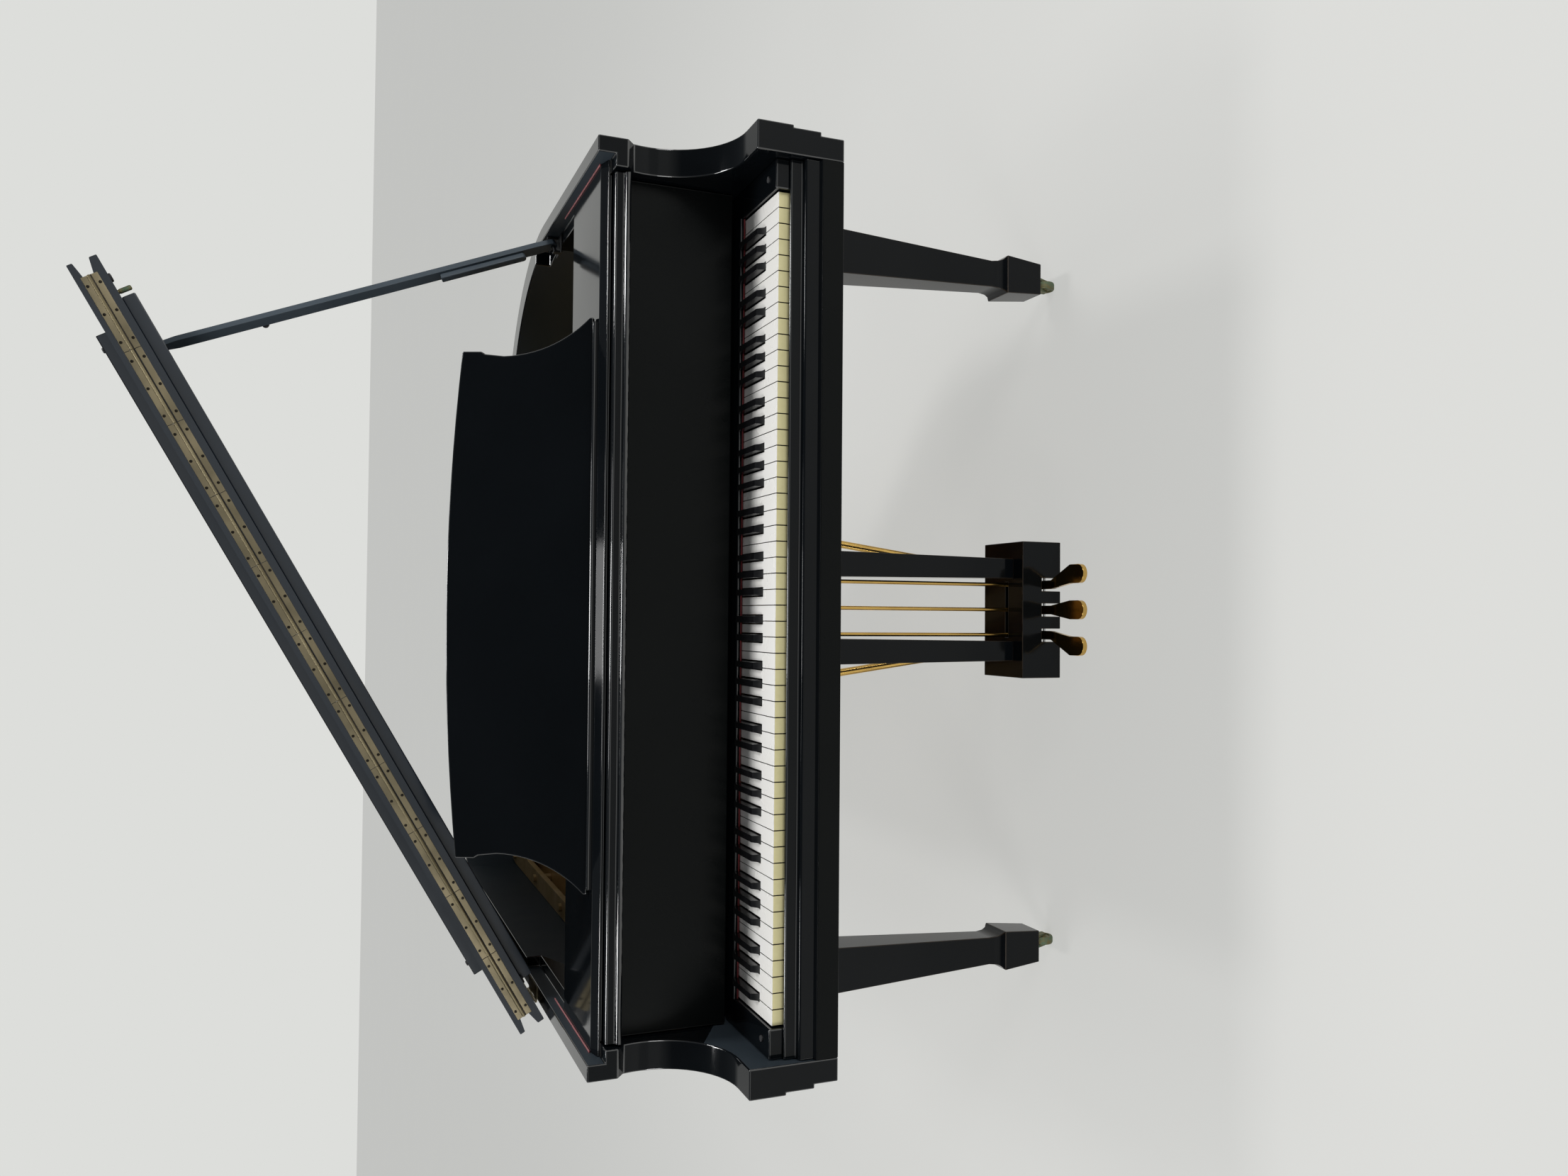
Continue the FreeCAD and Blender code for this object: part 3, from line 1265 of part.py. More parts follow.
def make_front():
    """Fallboard, felts, music tray, desk and stay."""
    half = d.half_width - d.arm_thickness
    end = half - 3
    face, back = d.fallboard_face, d.fallboard_face + d.fallboard_thickness
    lip = face - d.fallboard_lip
    under = d.fallboard_top - d.fallboard_lip_height
    board = new_body("fallboard")
    pad(board, "YZ_Plane", -end, end, [
        Corner(face, d.fallboard_bottom), Corner(back, d.fallboard_bottom), Corner(back, d.fallboard_top),
        Corner(lip, d.fallboard_top), Corner(lip, under + d.fallboard_lip_round),
        Corner(lip + d.fallboard_lip_round, under, d.fallboard_lip_round), Corner(face, under),
    ])
    pin_end = half + d.fallboard_pin_length
    pin_plan = many_sided(d.fallboard_pivot_y, d.fallboard_pivot_z, d.fallboard_pin)
    for low, high in ((-pin_end, -end), (end, pin_end)):
        pad(board, "YZ_Plane", low, high, pin_plan)

    seat = d.rim_top - d.rabbet_depth
    outer = half + d.rabbet_width
    felts = [box(low, high, d.tray_front, d.tray_back, seat, seat + d.tray_felt)
             for low, high in ((half, outer), (-outer, -half))]
    node("tray_felts", join("Part::Compound", *felts))

    tray_low = seat + d.tray_felt
    tray_top = tray_low + d.tray_thickness
    tray_end = outer - d.case_play
    tray = new_body("music_tray")
    pad(tray, "YZ_Plane", -tray_end, tray_end, [
        Corner(d.tray_front, tray_low), Corner(d.tray_back, tray_low), Corner(d.tray_back, tray_top),
        Corner(d.tray_front + d.tray_slope, tray_top), Corner(d.tray_front, tray_low + d.tray_edge),
    ])
    pad(tray, "XY_Plane", tray_top, tray_top + d.ledge_height,
        rectangle(-d.ledge_half, d.ledge_half, d.ledge_front, d.ledge_front + d.ledge_depth))

    lean = math.radians(d.desk_lean.value)
    foot_z = tray_top.value + d.seat_gap.value + d.desk_thickness.value * math.sin(lean)
    place = Placement(Vector(0, d.desk_foot_y.value, foot_z), Rotation(Vector(1, 0, 0), -d.desk_lean.value))
    desk = new_body("music_desk", place)
    foot, waist, top = d.desk_half_foot, d.desk_half_waist, d.desk_half_top
    height, rise = d.desk_side_height, d.desk_top_rise
    arch = (top * top + rise * rise) / (rise * 2)
    curl = 190
    ring = [
        Corner(-foot, 0), Corner(foot, 0), Corner(foot, 6),
        Corner(waist, 140, curl, -1), Corner(waist + 3, height - 36), Corner(top, height - 30),
        Corner(top, height), Corner(-top, height, arch),
        Corner(-top, height - 30), Corner(-waist - 3, height - 36), Corner(-waist, 140),
        Corner(-foot, 6, curl, -1),
    ]
    pad(desk, "XZ_Plane", -d.desk_thickness, 0, ring)

    thick = d.stay_thickness.value / 2
    set_back = d.desk_thickness.value + d.seat_gap.value + thick
    pivot_y = d.desk_foot_y.value + d.desk_pivot_height.value * math.sin(lean) + set_back * math.cos(lean)
    pivot_z = foot_z + d.desk_pivot_height.value * math.cos(lean) - set_back * math.sin(lean)
    fall = pivot_z - tray_top.value - d.seat_gap.value
    slope = math.atan2(thick, d.stay_length.value) + math.acos(fall / math.hypot(d.stay_length.value, thick))
    stay = new_body("desk_stay", Placement(Vector(0, pivot_y, pivot_z),
                                           Rotation(Vector(1, 0, 0), math.degrees(slope))))
    half_stay = d.stay_thickness / 2
    pad(stay, "YZ_Plane", -d.stay_width / 2, d.stay_width / 2, [
        Corner(-half_stay, -d.stay_length), Corner(half_stay, -d.stay_length),
        Corner(half_stay, 0), Corner(0, half_stay, half_stay), Corner(-half_stay, 0, half_stay),
    ])


def finish():
    """Recompute, look for faults and write every node."""
    doc.recompute()
    for item in doc.Objects:
        if {"Invalid", "Error"} & set(item.State):
            raise RuntimeError(f"{item.Label} did not compute")
    os.makedirs("parts", exist_ok=True)
    for item in nodes:
        shape = item.Shape
        if shape.isNull() or not shape.isValid():
            raise RuntimeError(f"{item.Label} has no valid shape")
        shape.exportStep(f"parts/{item.Label}.step")
        print(item.Label, len(shape.Solids))


make_case()
make_soundboard()
make_plate()
make_strings()
make_keybed()
make_keys()
make_action()
for leg_name, leg_x, leg_y in (
    ("front_left", -d.front_leg_x, d.front_leg_y),
    ("front_right", d.front_leg_x, d.front_leg_y),
    ("rear", d.rear_leg_x, d.rear_leg_y),
):
    make_leg(f"{leg_name}_leg", leg_x, leg_y)
    make_caster(f"{leg_name}_caster", leg_x, leg_y)
make_lyre()
make_lid()
make_prop()
make_front()
finish()
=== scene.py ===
"""A black grand piano with its lid propped open, dressed over its solid frame in metres."""

import json
import logging
import math
from collections.abc import Callable, Iterable, Sequence
from dataclasses import dataclass, field
from enum import Enum, IntEnum

import bmesh
import bpy
from mathutils import Matrix, Vector

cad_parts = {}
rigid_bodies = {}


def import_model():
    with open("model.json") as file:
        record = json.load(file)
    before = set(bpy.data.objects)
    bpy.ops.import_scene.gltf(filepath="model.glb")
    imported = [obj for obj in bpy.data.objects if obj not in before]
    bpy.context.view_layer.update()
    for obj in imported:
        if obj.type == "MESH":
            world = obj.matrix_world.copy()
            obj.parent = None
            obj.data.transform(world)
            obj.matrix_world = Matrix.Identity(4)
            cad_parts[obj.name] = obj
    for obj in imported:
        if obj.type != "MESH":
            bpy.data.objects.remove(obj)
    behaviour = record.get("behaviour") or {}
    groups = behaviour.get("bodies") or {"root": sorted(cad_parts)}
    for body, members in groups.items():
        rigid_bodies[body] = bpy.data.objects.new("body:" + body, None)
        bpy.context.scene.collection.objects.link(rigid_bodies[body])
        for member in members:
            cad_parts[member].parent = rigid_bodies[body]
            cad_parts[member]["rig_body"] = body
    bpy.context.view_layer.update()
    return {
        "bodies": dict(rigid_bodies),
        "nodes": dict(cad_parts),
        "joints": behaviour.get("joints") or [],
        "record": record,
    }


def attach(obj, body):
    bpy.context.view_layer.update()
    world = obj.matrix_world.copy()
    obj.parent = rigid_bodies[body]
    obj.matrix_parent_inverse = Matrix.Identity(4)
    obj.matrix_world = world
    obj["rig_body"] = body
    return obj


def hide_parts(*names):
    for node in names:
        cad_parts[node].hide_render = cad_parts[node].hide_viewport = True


log = logging.getLogger("grand_piano")

MM = 0.001
UP = (0.0, 0.0, 1.0)
# Corners closer than this many metres are one corner.
WELD = 2e-6
# Faces within this many degrees of each other are one face.
FLAT = 0.4
# Edges that turn by more than this many degrees are eased.
SHARP = 28.0
# Faces narrower than this many millimetres belong to a moulding's curve.
CHORD = 1.5
BMesh = bmesh.types.BMesh
Tree = bpy.types.NodeTree
Node = bpy.types.Node
Socket = bpy.types.NodeSocket
Pair = tuple[float, float]


class Side(Enum):
    """The two ends of the keyboard, with the sign of X there."""

    BASS = -1
    TREBLE = 1


class Ease(Enum):
    """How far a maker takes the sharpness off an edge, in millimetres."""

    HAIR = 0.25
    CRISP = 0.6
    SANDED = 1.2
    SOFT = 2.2


class Coat(IntEnum):
    """Materials of a lacquered piece, in order."""

    FACE = 0
    EDGE = 1
    WALL = 2


class KeyFace(IntEnum):
    """Materials of a natural key, in order."""

    COVER = 0
    FRONT = 1
    STICK = 2
    FLANK = 3


class BoardFace(IntEnum):
    """Materials of the fallboard, in order."""

    RUBBED_AND_PAINTED_SHEEN = 0
    POLISHED = 1
    PIN = 2
    CURVE = 3


class LidFace(IntEnum):
    """Materials of a lid board, in order."""

    POLISHED = 0
    FOLD = 1
    LOWEST = 2


class HingeFace(IntEnum):
    """Materials of the long hinge, in order."""

    LEAF = 0
    SCREW = 1
    WEB = 2
    KNUCKLE = 3


def linear(code: str) -> tuple[float, float, float, float]:
    """Turn an sRGB hex value into linear colour.

    Args:
        code: Hex value such as "#0b0d0f".

    Returns:
        Red, green, blue and an alpha of one.
    """
    parts = [int(code[k:k + 2], 16) / 255 for k in (1, 3, 5)]
    return (*(c / 12.92 if c <= 0.04045 else ((c + 0.055) / 1.055) ** 2.4 for c in parts), 1.0)


def add(tree: Tree, kind: str, sockets: dict, **settings: object) -> Node:
    """Add a shader node with its settings and links.

    Args:
        tree: Node tree of the material or world.
        kind: Blender's type name after "ShaderNode".
        sockets: Input name or number to a value, or to the output that feeds it.
        settings: Properties of the node.

    Returns:
        The new node.
    """
    node = tree.nodes.new(f"ShaderNode{kind}")
    for name, value in settings.items():
        setattr(node, name, value)
    for key, value in sockets.items():
        if isinstance(value, Socket):
            tree.links.new(value, node.inputs[key])
        else:
            node.inputs[key].default_value = value
    return node


@dataclass(frozen=True)
class Finish:
    """A surface, named for its material and how it was made.

    Attributes:
        name: Name of the material.
        colour: Main colour as sRGB hex.
        second: Colour that the pattern mixes in.
        roughness: Typical roughness of the surface.
        metallic: One for bare metal.
        ior: Index of refraction, left alone on a metal.
        size_mm: Size of the pattern's main mark.
    """

    name: str
    colour: str
    second: str
    roughness: float
    metallic: float = 0.0
    ior: float | None = None
    size_mm: float = 30.0

    def material(self) -> bpy.types.Material:
        """Return the material of this finish, made the first time it is asked for."""
        made = bpy.data.materials.get(self.name)
        if made:
            return made
        made = bpy.data.materials.new(self.name)
        made.use_nodes = True
        tree = made.node_tree
        shader = tree.nodes["Principled BSDF"]
        shader.inputs["Base Color"].default_value = linear(self.colour)
        shader.inputs["Roughness"].default_value = self.roughness
        shader.inputs["Metallic"].default_value = self.metallic
        if self.ior:
            shader.inputs["IOR"].default_value = self.ior
        self.dress(tree, shader)
        return made

    def dress(self, tree: Tree, shader: Node) -> None:
        """Lay the marks of the making over the plain shader.

        Args:
            tree: Node tree of the material.
            shader: Its principled shader.
        """
        raise NotImplementedError

    def colours(self) -> dict:
        """Both colours at the sockets that mix them."""
        return {6: linear(self.colour), 7: linear(self.second)}


@dataclass(frozen=True)
class Lacquer(Finish):
    """Polyester lacquer, sprayed thick and buffed: a deep black mirror with faint haze from dusting.

    Attributes:
        haze: Roughness that dusting adds at most.
        peel_mm: Size of the slight waves that spraying leaves.
        scuff_mm: Size of a cloth mark.
    """

    size_mm: float = 140.0
    haze: float = 0.1
    peel_mm: float = 9.0
    scuff_mm: float = 1.4

    def dress(self, tree: Tree, shader: Node) -> None:
        """Give haze to the gloss, a slight waviness and fine cloth marks.

        Args:
            tree: Node tree of the material.
            shader: Its principled shader.
        """
        spot = add(tree, "TexCoord", {}).outputs["Object"]
        cloud = add(tree, "TexNoise", {"Vector": spot, "Scale": 1000 / self.size_mm, "Detail": 5.0})
        rough = add(tree, "MapRange", {"Value": cloud.outputs["Fac"], "From Min": 0.35, "From Max": 0.75,
                                       "To Min": self.roughness, "To Max": self.roughness + self.haze})
        # Cloth marks are finer than a pixel on the real lacquer, so they are drawn a little coarser.
        swirl = add(tree, "TexNoise", {"Vector": spot, "Scale": 1000 / self.scuff_mm, "Detail": 2.0,
                                       "Distortion": 1.5})
        marked = add(tree, "Mix", {0: cloud.outputs["Fac"], **self.colours()}, data_type="RGBA")
        wavy = add(tree, "TexNoise", {"Vector": spot, "Scale": 1000 / self.peel_mm, "Detail": 1.0})
        marks = add(tree, "Bump", {"Height": swirl.outputs["Fac"], "Strength": 0.02, "Distance": 0.0001})
        peel = add(tree, "Bump", {"Height": wavy.outputs["Fac"], "Normal": marks.outputs["Normal"],
                                  "Strength": 0.05, "Distance": 0.0002})
        tree.links.new(rough.outputs["Result"], shader.inputs["Roughness"])
        tree.links.new(marked.outputs[2], shader.inputs["Base Color"])
        tree.links.new(peel.outputs["Normal"], shader.inputs["Normal"])


@dataclass(frozen=True)
class Felt(Finish):
    """Pressed wool: no gloss, a soft sheen at the rim and short fibres that break up the colour.

    Attributes:
        sheen: Weight of the sheen.
        sheen_roughness: How far the sheen spreads.
    """

    sheen: float = 0.35
    sheen_roughness: float = 0.6

    def dress(self, tree: Tree, shader: Node) -> None:
        """Scatter fibres over the colour and the surface.

        Args:
            tree: Node tree of the material.
            shader: Its principled shader.
        """
        shader.inputs["Sheen Weight"].default_value = self.sheen
        shader.inputs["Sheen Roughness"].default_value = self.sheen_roughness
        spot = add(tree, "TexCoord", {}).outputs["Object"]
        fibre = add(tree, "TexNoise", {"Vector": spot, "Scale": 1000 / self.size_mm, "Detail": 6.0,
                                       "Distortion": 2.0})
        mixed = add(tree, "Mix", {0: fibre.outputs["Fac"], **self.colours()}, data_type="RGBA")
        fuzz = add(tree, "Bump", {"Height": fibre.outputs["Fac"], "Strength": 0.5, "Distance": 0.0006})
        tree.links.new(mixed.outputs[2], shader.inputs["Base Color"])
        tree.links.new(fuzz.outputs["Normal"], shader.inputs["Normal"])


@dataclass(frozen=True)
class Metal(Finish):
    """Worked metal: tarnish in soft patches and fine lines along the way it was drawn or buffed.

    Attributes:
        line_mm: Width of a drawn line.
        lines_along: Squeeze of the lines along each axis, smallest along the metal.
        tarnish: Share of the second colour where the tarnish is thickest.
    """

    metallic: float = 1.0
    line_mm: float = 0.8
    lines_along: tuple[float, float, float] = (0.02, 1.0, 1.0)
    tarnish: float = 0.5

    def dress(self, tree: Tree, shader: Node) -> None:
        """Lay tarnish patches and drawing lines.

        Args:
            tree: Node tree of the material.
            shader: Its principled shader.
        """
        spot = add(tree, "TexCoord", {}).outputs["Object"]
        patch = add(tree, "TexNoise", {"Vector": spot, "Scale": 1000 / self.size_mm, "Detail": 5.0})
        share = add(tree, "MapRange", {"Value": patch.outputs["Fac"], "From Min": 0.35, "From Max": 0.7,
                                       "To Min": 0.0, "To Max": self.tarnish})
        mixed = add(tree, "Mix", {0: share.outputs["Result"], **self.colours()}, data_type="RGBA")
        drawn = add(tree, "Mapping", {"Vector": spot, "Scale": self.lines_along})
        line = add(tree, "TexNoise", {"Vector": drawn.outputs["Vector"], "Scale": 1000 / self.line_mm,
                                      "Detail": 2.0})
        rough = add(tree, "MapRange", {"Value": line.outputs["Fac"], "From Min": 0.3, "From Max": 0.7,
                                       "To Min": self.roughness * 0.8, "To Max": self.roughness * 1.3})
        groove = add(tree, "Bump", {"Height": line.outputs["Fac"], "Strength": 0.06, "Distance": 0.0002})
        tree.links.new(mixed.outputs[2], shader.inputs["Base Color"])
        tree.links.new(rough.outputs["Result"], shader.inputs["Roughness"])
        tree.links.new(groove.outputs["Normal"], shader.inputs["Normal"])


@dataclass(frozen=True)
class CastMetal(Finish):
    """Sand-cast metal under paint or age: a grainy skin, dull in the pits and brighter where rubbed.

    Attributes:
        pit_mm: Size of a grain of the mould.
        dulling: Roughness that the dull patches add.
    """

    pit_mm: float = 1.6
    dulling: float = 0.25

    def dress(self, tree: Tree, shader: Node) -> None:
        """Give the skin its sand grain and its patches.

        Args:
            tree: Node tree of the material.
            shader: Its principled shader.
        """
        spot = add(tree, "TexCoord", {}).outputs["Object"]
        patch = add(tree, "TexNoise", {"Vector": spot, "Scale": 1000 / self.size_mm, "Detail": 6.0,
                                       "Roughness": 0.65})
        share = add(tree, "MapRange", {"Value": patch.outputs["Fac"], "From Min": 0.4, "From Max": 0.66})
        mixed = add(tree, "Mix", {0: share.outputs["Result"], **self.colours()}, data_type="RGBA")
        rough = add(tree, "MapRange", {"Value": share.outputs["Result"], "To Min": self.roughness,
                                       "To Max": min(1.0, self.roughness + self.dulling)})
        sand = add(tree, "TexNoise", {"Vector": spot, "Scale": 1000 / self.pit_mm, "Detail": 3.0})
        skin = add(tree, "Bump", {"Height": sand.outputs["Fac"], "Strength": 0.18, "Distance": 0.0005})
        tree.links.new(mixed.outputs[2], shader.inputs["Base Color"])
        tree.links.new(rough.outputs["Result"], shader.inputs["Roughness"])
        tree.links.new(skin.outputs["Normal"], shader.inputs["Normal"])


@dataclass(frozen=True)
class Timber(Finish):
    """Planed timber: straight growth rings along the board, with pores and a thin coat of varnish.

    Attributes:
        turn: Turn of the grain in plan, in degrees.
        varnish: Weight of the varnish.
        varnish_roughness: Roughness of the varnish.
        pore_mm: Width of a pore.
        pore_stretch: Squeeze of the pores along each axis, smallest along the grain.
    """

    turn: float = 0.0
    varnish: float = 0.3
    varnish_roughness: float = 0.2
    pore_mm: float = 1000 / 900
    pore_stretch: tuple[float, float, float] = (1.0, 0.03, 1.0)

    def dress(self, tree: Tree, shader: Node) -> None:
        """Draw rings across the grain and short pores along it.

        Args:
            tree: Node tree of the material.
            shader: Its principled shader.
        """
        shader.inputs["Coat Weight"].default_value = self.varnish
        shader.inputs["Coat Roughness"].default_value = self.varnish_roughness
        spot = add(tree, "TexCoord", {}).outputs["Object"]
        laid = add(tree, "Mapping", {"Vector": spot, "Rotation": (0.0, 0.0, math.radians(self.turn))})
        # Rings are closer on the real board and are drawn wide enough to show at this distance.
        ring = add(tree, "TexWave", {"Vector": laid.outputs["Vector"], "Scale": 157 / self.size_mm,
                                     "Distortion": 1.2, "Detail": 2.0, "Detail Scale": 0.6},
                   wave_type="BANDS", bands_direction="X", wave_profile="SAW")
        along = add(tree, "Mapping", {"Vector": laid.outputs["Vector"], "Scale": self.pore_stretch})
        pore = add(tree, "TexNoise", {"Vector": along.outputs["Vector"], "Scale": 1000 / self.pore_mm,
                                      "Detail": 3.0})
        share = add(tree, "Math", {0: ring.outputs["Fac"], 1: pore.outputs["Fac"]}, operation="MULTIPLY")
        mixed = add(tree, "Mix", {0: share.outputs[0], **self.colours()}, data_type="RGBA")
        grain = add(tree, "Bump", {"Height": share.outputs[0], "Strength": 0.1, "Distance": 0.0003})
        tree.links.new(mixed.outputs[2], shader.inputs["Base Color"])
        tree.links.new(grain.outputs["Normal"], shader.inputs["Normal"])


@dataclass(frozen=True)
class Moulding(Finish):
    """Moulded and buffed plastic or rubber: even colour, a faint yellowing and a dulled touch area.

    Attributes:
        gloss_range: Roughness that wear adds at most.
    """

    gloss_range: float = 0.12

    def dress(self, tree: Tree, shader: Node) -> None:
        """Yellow the colour in soft patches and dull the gloss where fingers rest.

        Args:
            tree: Node tree of the material.
            shader: Its principled shader.
        """
        spot = add(tree, "TexCoord", {}).outputs["Object"]
        cloud = add(tree, "TexNoise", {"Vector": spot, "Scale": 1000 / self.size_mm, "Detail": 3.0})
        mixed = add(tree, "Mix", {0: cloud.outputs["Fac"], **self.colours()}, data_type="RGBA")
        rough = add(tree, "MapRange", {"Value": cloud.outputs["Fac"], "From Min": 0.3, "From Max": 0.7,
                                       "To Min": self.roughness, "To Max": self.roughness + self.gloss_range})
        tree.links.new(mixed.outputs[2], shader.inputs["Base Color"])
        tree.links.new(rough.outputs["Result"], shader.inputs["Roughness"])


# A deep black mirror. It is 1.5 by the book and is matched lower, because little light reaches the real one.
LACQUER = Lacquer("polyester_lacquer_buffed", "#06080a", "#0b0e11", 0.06, ior=1.27, haze=0.08)
# Rounded edges are buffed hardest and keep the full gloss of the lacquer, which draws the lines of light.
GLOSS = Lacquer("polyester_lacquer_buffed_edge", "#07090b", "#0c0f12", 0.05, ior=1.95, haze=0.06)
# The lid's fold edges face forwards, and their greyer, bluer colour is painted window light.
PAINTED_WINDOW_LIGHT = Lacquer("polyester_lacquer_painted_window_light", "#1a2129", "#222a33", 0.14, ior=1.5, haze=0.12)
# The props are handled and wiped to a low gloss, and their even slate grey is painted glare from window
# light.
HANDLED_PAINTED_GLARE = Lacquer("polyester_lacquer_handled_painted_glare", "#3d474f", "#454f58", 0.34, ior=1.45, haze=0.12)
# The walls round the strings are rubbed to a low gloss, and their even dark slate is a painted sheen in place
# of what the glossy walls mirror.
RUBBED_AND_PAINTED_SHEEN = Lacquer("polyester_lacquer_rubbed_painted_sheen", "#2b3339", "#323a41", 0.5, ior=1.3, haze=0.1)
# Rubbed and never buffed: a wide, soft shine with no clear mirror image.
SATIN = Lacquer("polyester_lacquer_rubbed", "#060808", "#0b0d0d", 0.24, ior=1.2, size_mm=220.0)
# Corners of legs, lyre and pedal box are rubbed through to a brown undercoat in short runs.
WORN = Lacquer("polyester_lacquer_rubbed_through", "#0b0b0a", "#33271a", 0.26, ior=1.4, size_mm=26.0,
               haze=0.2)
# Stained through and waxed: near black with a low shine.
BLACK_WOOD = Lacquer("hornbeam_stained_black", "#101011", "#1a1a1b", 0.42, ior=1.5, size_mm=12.0)
# Hard and clean white, with a soft shine that fingers have dulled in places.
KEY_TOP = Moulding("acrylic_moulded_key_covering", "#f2f1ef", "#eae8e1", 0.2, ior=1.49, size_mm=60.0)
# Aged to cream, mottled and half dull.
KEY_FRONT = Moulding("celluloid_pressed_key_front", "#ded6a6", "#d3ca95", 0.38, ior=1.5, size_mm=9.0)
# Hard black with small, crisp highlights.
KEY_SHARP = Moulding("phenolic_moulded_and_polished", "#08080a", "#0e0e10", 0.14, ior=1.6, size_mm=18.0)
# Charcoal grey and dull, with no clear highlight.
RUBBER = Moulding("rubber_moulded", "#17171a", "#222225", 0.6, ior=1.52, size_mm=3.0)
# Even, matt and pale, so that it only carries the shadow.
FLOOR = Moulding("resin_floor_matt", "#e6e5e2", "#e2e1dd", 0.75, ior=1.5, size_mm=900.0)
# Deep red without shine, with darker specks between the fibres.
RED_FELT = Felt("wool_felt_pressed_red", "#a03538", "#76262b", 0.95, size_mm=1.1)
# A soft black line without shine.
BLACK_FELT = Felt("wool_felt_pressed_black", "#171515", "#0e0c0c", 0.95, size_mm=1.1)
# Off-white and soft, on hammers and under dampers.
WHITE_FELT = Felt("wool_felt_pressed_white", "#e7e0d0", "#cdc4ae", 0.95, size_mm=1.4)
# Dull khaki, with lines along its length.
BRASS = Metal("brass_drawn_and_tarnished", "#887e66", "#5c5646", 0.42, size_mm=90.0, tarnish=0.9,
              lines_along=(0.02, 1.0, 0.02))
# Paler than the leaves as a painted highlight on the round knuckles, with a broad, soft shine.
KNUCKLE_PAINTED_HIGHLIGHT = Metal("brass_rolled_painted_highlight", "#958b70", "#716954", 0.7, size_mm=90.0, tarnish=0.7,
                     line_mm=4.0, lines_along=(0.02, 1.0, 0.02))
# Painted shade in the gap of the hinge: brown, close to black.
HINGE_GAP_PAINTED_SHADE = CastMetal("brass_painted_gap_shade", "#2b261d", "#1a1712", 0.6, 0.3, size_mm=30.0)
# Black enamel over hammer marks: dark, with an uneven shine.
BLACK_IRON = CastMetal("iron_forged_and_japanned", "#101214", "#1a1c1e", 0.3, 0.4, size_mm=14.0)
# A warm yellow mirror with fine lathe lines.
POLISHED_BRASS = Metal("brass_turned_and_polished", "#d3ad61", "#a5834a", 0.16, size_mm=60.0)
# Brown brass with a green bloom in its pits.
AGED_BRASS = CastMetal("brass_cast_with_verdigris", "#6f6644", "#5f7763", 0.5, 0.65, size_mm=9.0)
# Small dark dots on the paler brass.
DARK_SCREW = Metal("steel_screw_blued", "#2b2823", "#14120f", 0.4, size_mm=3.0)
# Cold grey with thin, bright highlights.
STEEL = Metal("steel_drawn_bright", "#c3c6ca", "#8d9094", 0.22, size_mm=25.0)
# Red brown, with fine rings across the string that are drawn coarser than the real winding.
COPPER = Metal("copper_wound_on_steel", "#b36a43", "#7c452c", 0.34, size_mm=30.0, line_mm=1.6,
               lines_along=(0.05, 1.0, 0.05))
# Warm, dull gold with the fine grain of the sand under the paint.
GOLD_IRON = CastMetal("iron_cast_and_bronze_painted", "#c6aa78", "#b59a69", 0.5, 0.3, size_mm=90.0)
# Honey coloured, with straight rings under a soft gloss.
SPRUCE = Timber("spruce_quartersawn_and_varnished", "#d9b274", "#b98a4a", 0.4, ior=1.5, size_mm=5.0,
                turn=38.0, varnish=0.5)
# Pale and matt, with open grain.
BEAM = Timber("spruce_planed", "#cfae78", "#ab8552", 0.6, ior=1.5, size_mm=8.0, turn=20.0, varnish=0.0)
# Pale brown and close grained, with a low sheen.
MAPLE = Timber("maple_planed_and_sealed", "#cfa977", "#b58d5c", 0.5, ior=1.5, size_mm=7.0, varnish=0.15)
# Painted shade on the sides of the keys, so that the gaps between keys read as brown-black lines.
KEY_GAP_PAINTED_SHADE = Timber("maple_painted_gap_shade", "#33281d", "#1d160f", 0.7, ior=1.5, size_mm=7.0, varnish=0.0)


def arc(centre: Pair, radius: float, start: float, stop: float, steps: int = 8) -> list[Pair]:
    """Points on an arc.

    Args:
        centre: Centre of the arc.
        radius: Its radius.
        start: First angle in degrees.
        stop: Last angle in degrees.
        steps: Chords in the arc.

    Returns:
        Points from the first angle to the last.
    """
    turns = [math.radians(start + (stop - start) * k / steps) for k in range(steps + 1)]
    return [(centre[0] + radius * math.cos(t), centre[1] + radius * math.sin(t)) for t in turns]


